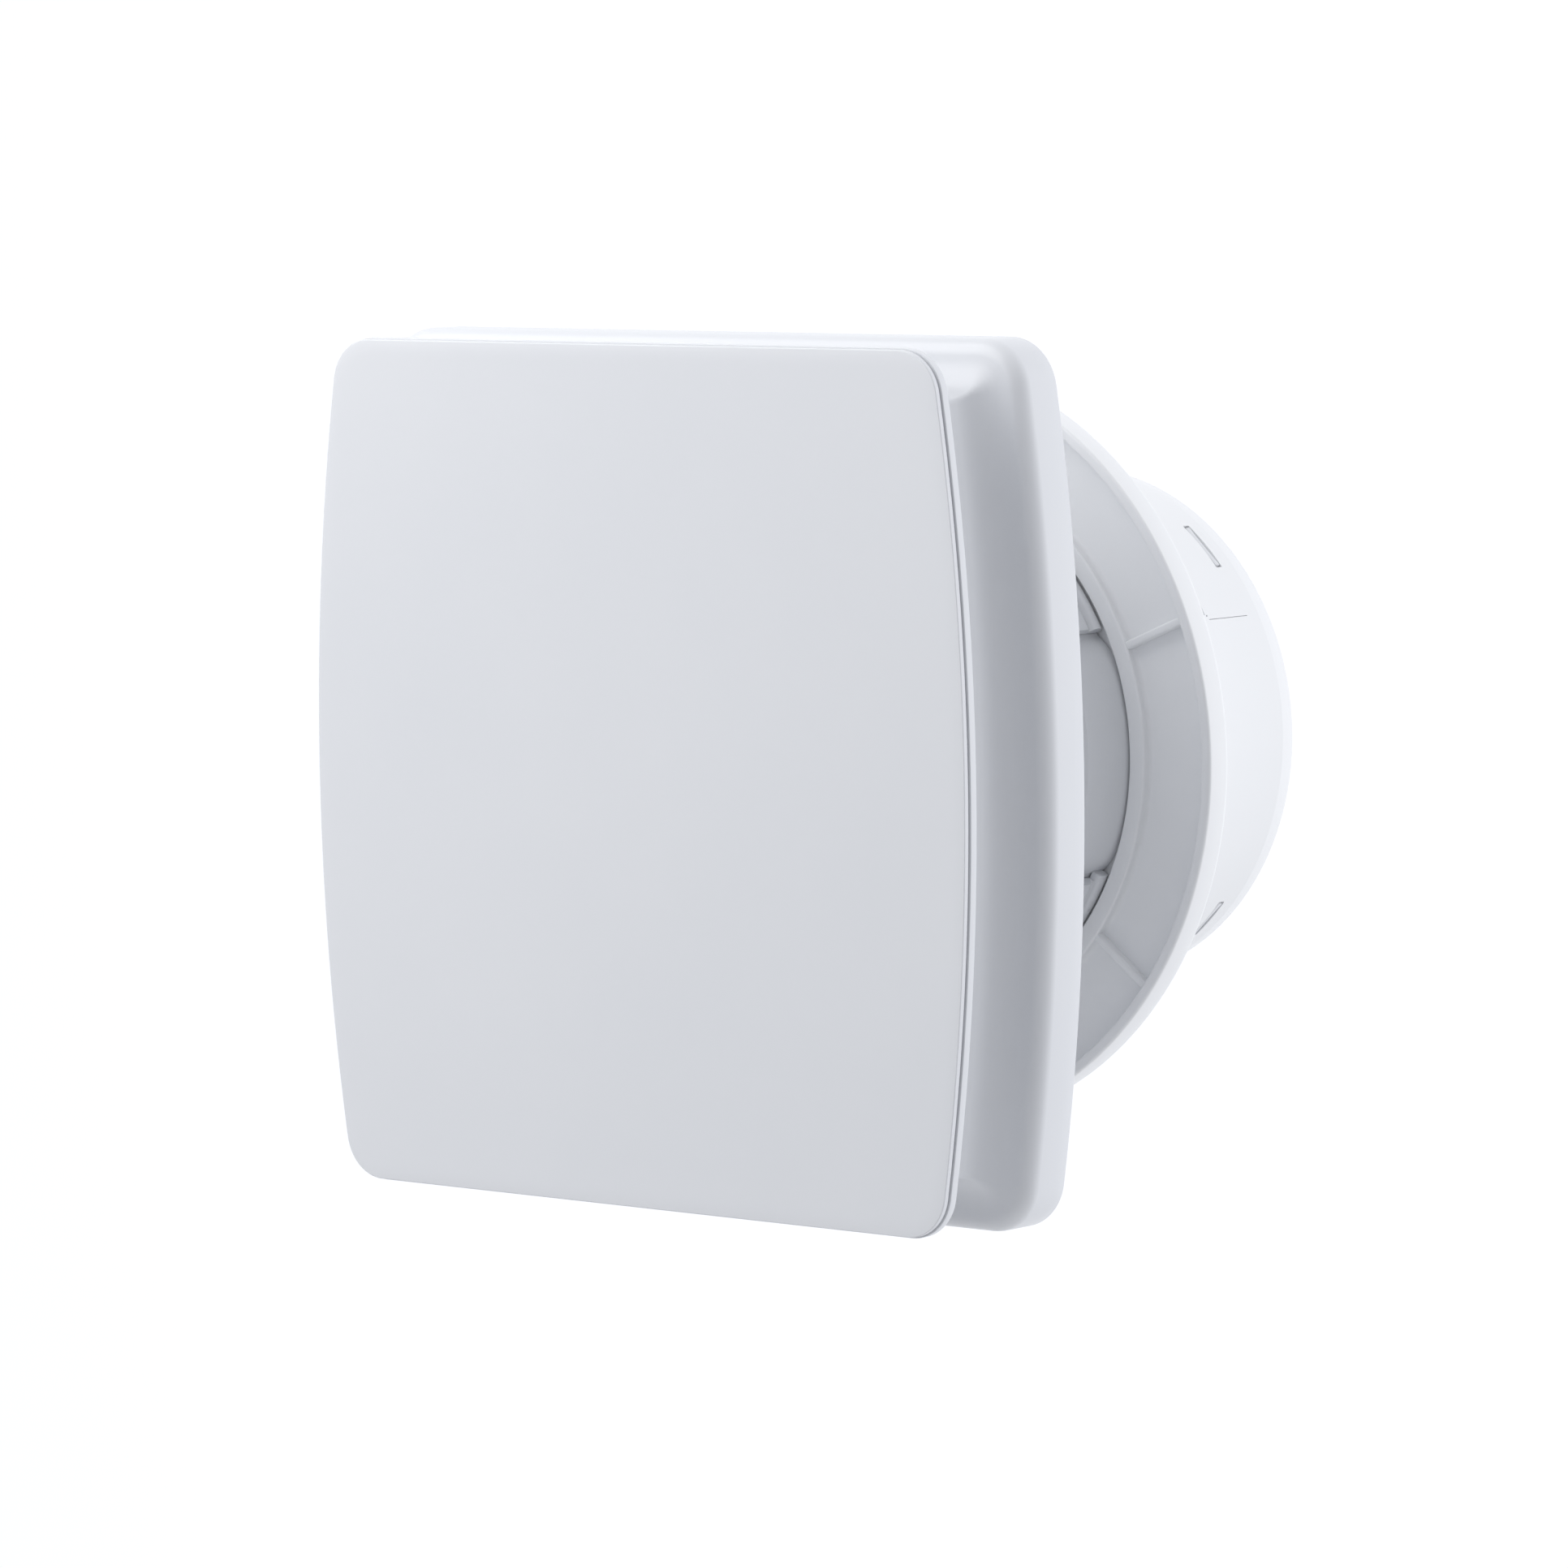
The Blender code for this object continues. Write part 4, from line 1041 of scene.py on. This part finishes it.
def make_core():
    """The laminated stator: an outer ring with four poles whose shoes follow the rotor."""
    bm = bmesh.new()
    front, back = CORE_LOW[1], CORE_HIGH[1]
    outer = CORE_HIGH[0]
    inner = 19.0
    half_pole = 3.5
    gap_r = 12.6
    shoe_r = 14.4
    shoe = 26.0
    root = math.degrees(math.asin(half_pole / inner))
    neck = math.degrees(math.asin(half_pole / shoe_r))
    outline = []
    for turn in (0.0, 90.0, 180.0, 270.0):
        outline += arc(0.0, 0.0, gap_r, turn - shoe, turn + shoe, 10)
        outline += arc(0.0, 0.0, shoe_r, turn + shoe, turn + neck, 3)
        outline += arc(0.0, 0.0, inner, turn + root, turn + 90.0 - root, 8)
        outline += arc(0.0, 0.0, shoe_r, turn + 90.0 - neck, turn + 90.0 - shoe, 3)
    slab(bm, [circle(outer, 96), outline], (front, back))
    piece("stator_laminations", bm, LAMINATION, "housing", "lamination", "stator_core")


def make_coils():
    """Windings round the four poles, each a rounded band."""
    low, high = node_box("stator_coil_1")
    middle = centre_of(low, high)[1]
    half_width = 6.2
    half_length = (high[1] - low[1]) / 2
    section = rounded([(0.0, 14.8, 0.6), (0.0, 17.8, 0.6), (2.4, 17.8, 0.3), (2.4, 14.8, 0.3)], 3)
    for k in range(4):
        bm = bmesh.new()
        loops = []
        for inset, radius in section:
            rim = rectangle(half_width - inset, half_length - inset, max(2.6 - inset, 0.3), 5)
            loops.append([(radius, middle + b, a) for a, b in rim])
        skin(bm, loops, ring=True)
        bm.transform(Matrix.Rotation(-math.radians(90.0 * k), 4, "Y"))
        piece(f"winding_{k + 1}", bm, COPPER, "housing", "copper", f"stator_coil_{k + 1}")


def make_shaft_and_rotor():
    bm = bmesh.new()
    low, high = node_box("motor_shaft")
    peg(bm, high[0], (low[1], high[1]), bevel=0.6, steps=40)
    piece("steel_shaft", bm, STEEL, "rotor_assembly", "steel", "motor_shaft")
    bm = bmesh.new()
    low, high = node_box("rotor")
    tube(bm, (BORE_R, high[0]), (low[1], high[1]), bevel=0.4, steps=64)
    piece("rotor_stack", bm, LAMINATION, "rotor_assembly", "lamination", "rotor")


# ---------------- impeller


def blade(bm, turn):
    """A twisted blade, thick at the nose and thin at the tail, with a rounded tip."""
    spans = 14
    loops = []
    for i in range(spans + 1):
        s = i / spans
        radius = HUB_R - 1.2 + (BLADE_TIP_R - HUB_R + 1.2) * s
        pitch = math.radians(BLADE_PITCH[0] + (BLADE_PITCH[1] - BLADE_PITCH[0]) * s)
        chord = (21.0 + 6.0 * s) * (1.0 - 0.10 * max(0.0, s - 0.85) / 0.15)
        loops.append([blade_point(radius, pitch, chord, *p) for p in blade_section(1.0 - 0.45 * s)])
    part = bmesh.new()
    skin(part, loops, caps=True)
    part.transform(Matrix.Rotation(-math.radians(turn), 4, "Y"))
    absorb(bm, part)


def blade_section(scale):
    """(along, across) of the blade's section, with along from -0.5 to 0.5 and across in millimetres."""
    steps = 14
    upper = []
    lower = []
    for k in range(steps + 1):
        t = 0.5 - 0.5 * math.cos(math.pi * k / steps)
        thick = scale * (2.4 * math.sqrt(max(t, 0.0)) * (1.0 - t) + 0.42 * (1.0 - (2 * t - 1) ** 8))
        upper.append((t - 0.5, thick / 2))
        lower.append((t - 0.5, -thick / 2))
    return upper + lower[-2:0:-1]


def blade_point(radius, pitch, chord, t, thick):
    """A point of the blade's section, wrapped round the duct axis at its radius."""
    along = t * chord
    camber = 0.08 * chord * (1.0 - (2.0 * t) ** 2) + thick
    around = along * math.cos(pitch) - camber * math.sin(pitch)
    axial = along * math.sin(pitch) + camber * math.cos(pitch)
    a = around / radius
    return radius * math.cos(a), 0.5 + axial, radius * math.sin(a)


def make_impeller():
    bm = bmesh.new()
    front, back = -10.0, 10.6
    corners = [
        (HUB_R, back, 0.4),
        (HUB_R, front, 3.0),
        (8.0, front, 0.5),
        (7.4, front + 0.5, 0.3),
        (BORE_R, front + 0.5, 0.2),
        (BORE_R, back - 1.0, 0.3),
        (5.3, back - 1.0, 0.3),
        (5.3, front + 2.2, 0.6),
        (HUB_R - 1.7, front + 2.2, 1.2),
        (HUB_R - 1.7, back, 0.3),
    ]
    lathe(bm, rounded(corners, 6), 120)
    for k in range(6):
        bar(bm, (13.5, 9.0, 1.2), (11.5, front + 6.0, 0.0), 0.3, 30.0 + 60.0 * k)
    for k in range(BLADE_COUNT):
        blade(bm, 360.0 * k / BLADE_COUNT)
    piece("fan_wheel", bm, GREY_PLASTIC, "rotor_assembly", "grey_plastic", "impeller")


def make_impeller_cap():
    bm = bmesh.new()
    low, high = node_box("impeller_cap")
    front, back = low[1], high[1]
    corners = [
        (0.0, back - 0.9, 0.0),
        (BORE_R, back - 0.9, 0.1),
        (BORE_R, back, 0.2),
        (high[0], back, 0.3),
        (high[0], front + 1.6, 1.0),
        (3.6, front, 1.4),
        (0.0, front, 0.0),
    ]
    lathe(bm, rounded(corners, 5, closed=False), 48, ring=False)
    for k in range(8):
        bar(bm, (0.7, 1.4, 1.0), (high[0] - 0.1, back - 1.1, 0.0), 0.25, 45.0 * k)
    piece("wheel_cap", bm, GREY_PLASTIC, "rotor_assembly", "grey_plastic", "impeller_cap")


# ---------------- mains connection


def make_terminal_block():
    bm = bmesh.new()
    middle = centre_of(BLOCK_LOW, BLOCK_HIGH)
    bar(bm, size_of(BLOCK_LOW, BLOCK_HIGH), middle, 0.5)
    block = piece("terminal_strip", bm, GREY_PLASTIC, "housing", "grey_plastic", "terminal_block")
    knife = bmesh.new()
    back = BLOCK_HIGH[1]
    for k in range(3):
        x = middle[0] + TERMINAL_PITCH * (k - 1)
        peg(knife, 2.5, (back - 4.0, back + 2.0), x, middle[2], 0.0)
        wire_hole = bmesh.new()
        peg(wire_hole, 1.7, (-9.0, 9.0), bevel=0.0)
        wire_hole.transform(upright(x, back - 6.4, middle[2]))
        absorb(knife, wire_hole)
    for k in range(2):
        bar(knife, (0.8, 3.0, 20.0), (middle[0] + TERMINAL_PITCH * (k - 0.5), back, middle[2]), 0.0)
    carve(block, knife)


def make_terminal_cover():
    bm = bmesh.new()
    front, back = COVER_LOW[1], COVER_HIGH[1]
    width, _, height = size_of(COVER_LOW, COVER_HIGH)
    x, _, z = centre_of(COVER_LOW, COVER_HIGH)
    wall = 1.2

    def rim(inset):
        line = rectangle(width / 2 - inset, height / 2 - inset, max(1.6 - inset, 0.3), 4)
        return [(x + a, z + b) for a, b in line]

    corners = [
        (4.0, back, 0.0),
        (0.0, back, 1.0),
        (0.0, front, 0.2),
        (wall, front, 0.2),
        (wall, back - wall, 0.5),
        (4.0, back - wall, 0.0),
    ]
    plate(bm, rim, corners, 4)
    cover = piece("terminal_lid", bm, SATIN_WHITE, "housing", "satin_white", "terminal_cover")
    knife = bmesh.new()
    clamp_x = centre_of(CLAMP_LOW, CLAMP_HIGH)[0]
    bar(knife, (8.0, 6.0, 4.0), (clamp_x, front + 2.0, COVER_HIGH[2]), 0.6)
    carve(cover, knife)


def make_cable_clamp():
    bm = bmesh.new()
    size = size_of(CLAMP_LOW, CLAMP_HIGH)
    x, y, z = centre_of(CLAMP_LOW, CLAMP_HIGH)
    bar(bm, size, (x, y, z), 0.7, segments=3)
    for k in range(3):
        bar(bm, (0.5, 0.5, size[2] - 0.8), (x + 1.6 * (k - 1), CLAMP_HIGH[1], z), 0.15)
    piece("cord_grip_bar", bm, SATIN_WHITE, "housing", "satin_white", "cable_clamp")


# ---------------- screws


def make_screw(name, node, look, slot_name):
    """A pan-head screw in the box of its CAD node, with a cross recess and a thread along its shank."""
    low, high = node_box(node)
    x, _, z = centre_of(low, high)
    head_r = (high[0] - low[0]) / 2
    shank_r = head_r * 0.5
    core_r = shank_r * 0.8
    head = head_r * 0.62
    head_first = node.startswith(("wall", "motor"))
    length = high[1] - low[1]
    bm = bmesh.new()
    corners = [
        (0.0, 0.0, 0.0),
        (head_r * 0.72, 0.06 * head, 0.5),
        (head_r, 0.55 * head, 0.3),
        (head_r, head, 0.15),
        (core_r, head, 0.1),
        (core_r, length - shank_r, 0.2),
        (0.0, length, 0.0),
    ]
    lathe(bm, rounded(corners, 4, closed=False), 36, ring=False)
    thread(bm, shank_r, head + 0.6, length - shank_r * 1.2)
    facing = Matrix.Translation((x, low[1] if head_first else high[1], z))
    if not head_first:
        facing @= Matrix.Rotation(math.pi, 4, "X")
    bm.transform(facing)
    obj = piece(name, bm, look, "housing", slot_name, node)
    knife = bmesh.new()
    for turn in (20.0, 110.0):
        bar(knife, (head_r * 1.1, head, head_r * 0.24), (0.0, 0.1 * head, 0.0), 0.0, turn)
    knife.transform(facing)
    carve(obj, knife)


def thread(bm, radius, start, end):
    """A helical ridge round the shank."""
    pitch = radius * 0.72
    core = radius * 0.74
    steps = 18
    count = int((end - start) / pitch * steps)
    loops = []
    for i in range(count + 1):
        y = start + (end - start) * i / count
        c, s = polar(1.0, 360.0 * i / steps)
        fade = min(1.0, i / steps, (count - i) / steps)
        crest = radius * (0.78 + 0.22 * fade)
        ridge = [(core, y - 0.3 * pitch), (crest, y), (core, y + 0.3 * pitch)]
        loops.append([(r * c, h, r * s) for r, h in ridge])
    skin(bm, loops, caps=True)


def make_screws():
    for k in range(4):
        make_screw(f"wood_screw_{k + 1}", f"wall_screw_{k + 1}", STEEL, "steel")
    for k in range(3):
        make_screw(f"flange_screw_{k + 1}", f"tube_screw_{k + 1}", STEEL, "steel")
        make_screw(f"clamping_screw_{k + 1}", f"terminal_screw_{k + 1}", BRASS, "brass")
    for k in range(2):
        make_screw(f"cap_screw_{k + 1}", f"motor_screw_{k + 1}", STEEL, "steel")
        make_screw(f"grip_screw_{k + 1}", f"clamp_screw_{k + 1}", STEEL, "steel")


# ---------------- stage, lights and camera

FLOOR_REACH = 450.0
FLOOR_DROP = 480.0

# The sky's even part, then its patches: direction, cosines where each starts and is full, and strength
AMBIENT = 0.5
SKY = (
    ((0.0, 1.0, 0.0), 0.0, 0.8, 0.55),
    ((0.75, 0.66, 0.1), 0.5, 0.9, 0.46),
)

# Name, position, target, size and power, in metres and watts
LIGHTS = (
    ("top_box", (0.1, -0.15, 0.9), (0.0, 0.0, 0.0), (0.8, 0.8), 0.65),
    ("high_left_box", (-0.45, -0.55, 0.55), (0.0, 0.0, 0.0), (0.95, 0.95), 6.3),
    ("right_back_box", (0.8, 0.6, 0.2), (0.05, 0.05, 0.0), (0.6, 0.8), 1.05),
    ("edge_box", (-0.30, -0.26, 0.22), (-0.07, 0.0, 0.02), (0.2, 0.2), 0.2),
)

# Degrees, metres, and millimetres of lens and sensor
CAMERA_AZIMUTH = 39.86
CAMERA_ELEVATION = 5.42
CAMERA_ROLL = -0.739
CAMERA_DISTANCE = 1.4321
CAMERA_AIM = (0.02142, -0.01164, -0.00141)
CAMERA_LENS = 181.05
CAMERA_SENSOR = 36.0


def make_stage():
    """A plain pale disc of paper, well below the fan."""
    bm = bmesh.new()
    bmesh.ops.create_circle(bm, cap_ends=True, segments=128, radius=FLOOR_REACH)
    bm.transform(Matrix.Translation((0.0, 0.0, FRAME_LOW[2] - FLOOR_DROP)))
    floor = add_object("floor", mesh_of(bm))
    mat = new_material("floor_paper", 0.9)
    grain = noise(mat, place(mat), 3.0, 2.0)
    connect(mat, "Base Color", ramp(mat, grain, (0.80, 0.80, 0.80), (0.82, 0.82, 0.82)))
    floor.data.materials.append(mat)


def glow(world, direction, start, full, strength):
    """A soft patch of light in the sky round a direction, between two cosines of the angle from it."""
    nodes = world.node_tree.nodes
    links = world.node_tree.links
    where = nodes.new("ShaderNodeTexCoord")
    facing = nodes.new("ShaderNodeVectorMath")
    facing.operation = "DOT_PRODUCT"
    facing.inputs[1].default_value = Vector(direction).normalized()
    links.new(where.outputs["Generated"], facing.inputs[0])
    level = nodes.new("ShaderNodeMapRange")
    level.interpolation_type = "SMOOTHSTEP"
    level.inputs["From Min"].default_value = start
    level.inputs["From Max"].default_value = full
    level.inputs["To Max"].default_value = strength
    links.new(facing.outputs["Value"], level.inputs["Value"])
    return level.outputs["Result"]


def make_world():
    """A white studio, dimmer in front of the fan than behind it and on its right."""
    world = bpy.data.worlds.new("studio")
    bpy.context.scene.world = world
    world.use_nodes = True
    nodes = world.node_tree.nodes
    links = world.node_tree.links
    background = nodes["Background"]
    background.inputs["Color"].default_value = (0.975, 0.99, 1.03, 1.0)
    total = None
    for direction, start, full, strength in SKY:
        patch = glow(world, direction, start, full, strength)
        add = nodes.new("ShaderNodeMath")
        add.inputs[1].default_value = AMBIENT
        links.new(patch, add.inputs[0])
        if total is not None:
            links.new(total, add.inputs[1])
        total = add.outputs["Value"]
    links.new(total, background.inputs["Strength"])


def area_light(name, position, target, size, power):
    lamp = bpy.data.lights.new(name, "AREA")
    lamp.shape = "RECTANGLE"
    lamp.size, lamp.size_y = size
    lamp.energy = power
    obj = add_object(name, lamp)
    obj.location = position
    aim = Vector(target) - Vector(position)
    obj.rotation_euler = aim.to_track_quat("-Z", "Y").to_euler()


def make_camera():
    """The camera stands to the fan's front right, a little above its axis."""
    azimuth = math.radians(CAMERA_AZIMUTH)
    elevation = math.radians(CAMERA_ELEVATION)
    data = bpy.data.cameras.new("camera")
    data.lens = CAMERA_LENS
    data.sensor_width = CAMERA_SENSOR
    data.clip_end = 50.0
    camera = add_object("camera", data)
    level = math.cos(elevation)
    out = Vector((math.sin(azimuth) * level, -math.cos(azimuth) * level, math.sin(elevation)))
    camera.location = Vector(CAMERA_AIM) + out * CAMERA_DISTANCE
    turn = out.to_track_quat("Z", "Y").to_matrix()
    camera.rotation_euler = (turn @ Matrix.Rotation(math.radians(CAMERA_ROLL), 3, "Z")).to_euler()
    bpy.context.scene.camera = camera


def make_fan():
    make_panel_face()
    make_panel_carrier()
    make_frame()
    make_tube()
    make_sleeves()
    make_adaptor()
    make_shutter_sleeve()
    make_shutter_pin()
    make_spring()
    make_flap("right_half_flap", "flap_right", "right_flap", 1)
    make_flap("left_half_flap", "flap_left", "left_flap", -1)
    make_spider()
    make_end_cap()
    make_bearings()
    make_core()
    make_coils()
    make_shaft_and_rotor()
    make_impeller()
    make_impeller_cap()
    make_terminal_block()
    make_terminal_cover()
    make_cable_clamp()
    make_screws()


make_camera()
make_fan()
make_stage()
make_world()
for light in LIGHTS:
    area_light(*light)
bpy.context.scene.view_settings.view_transform = "Standard"
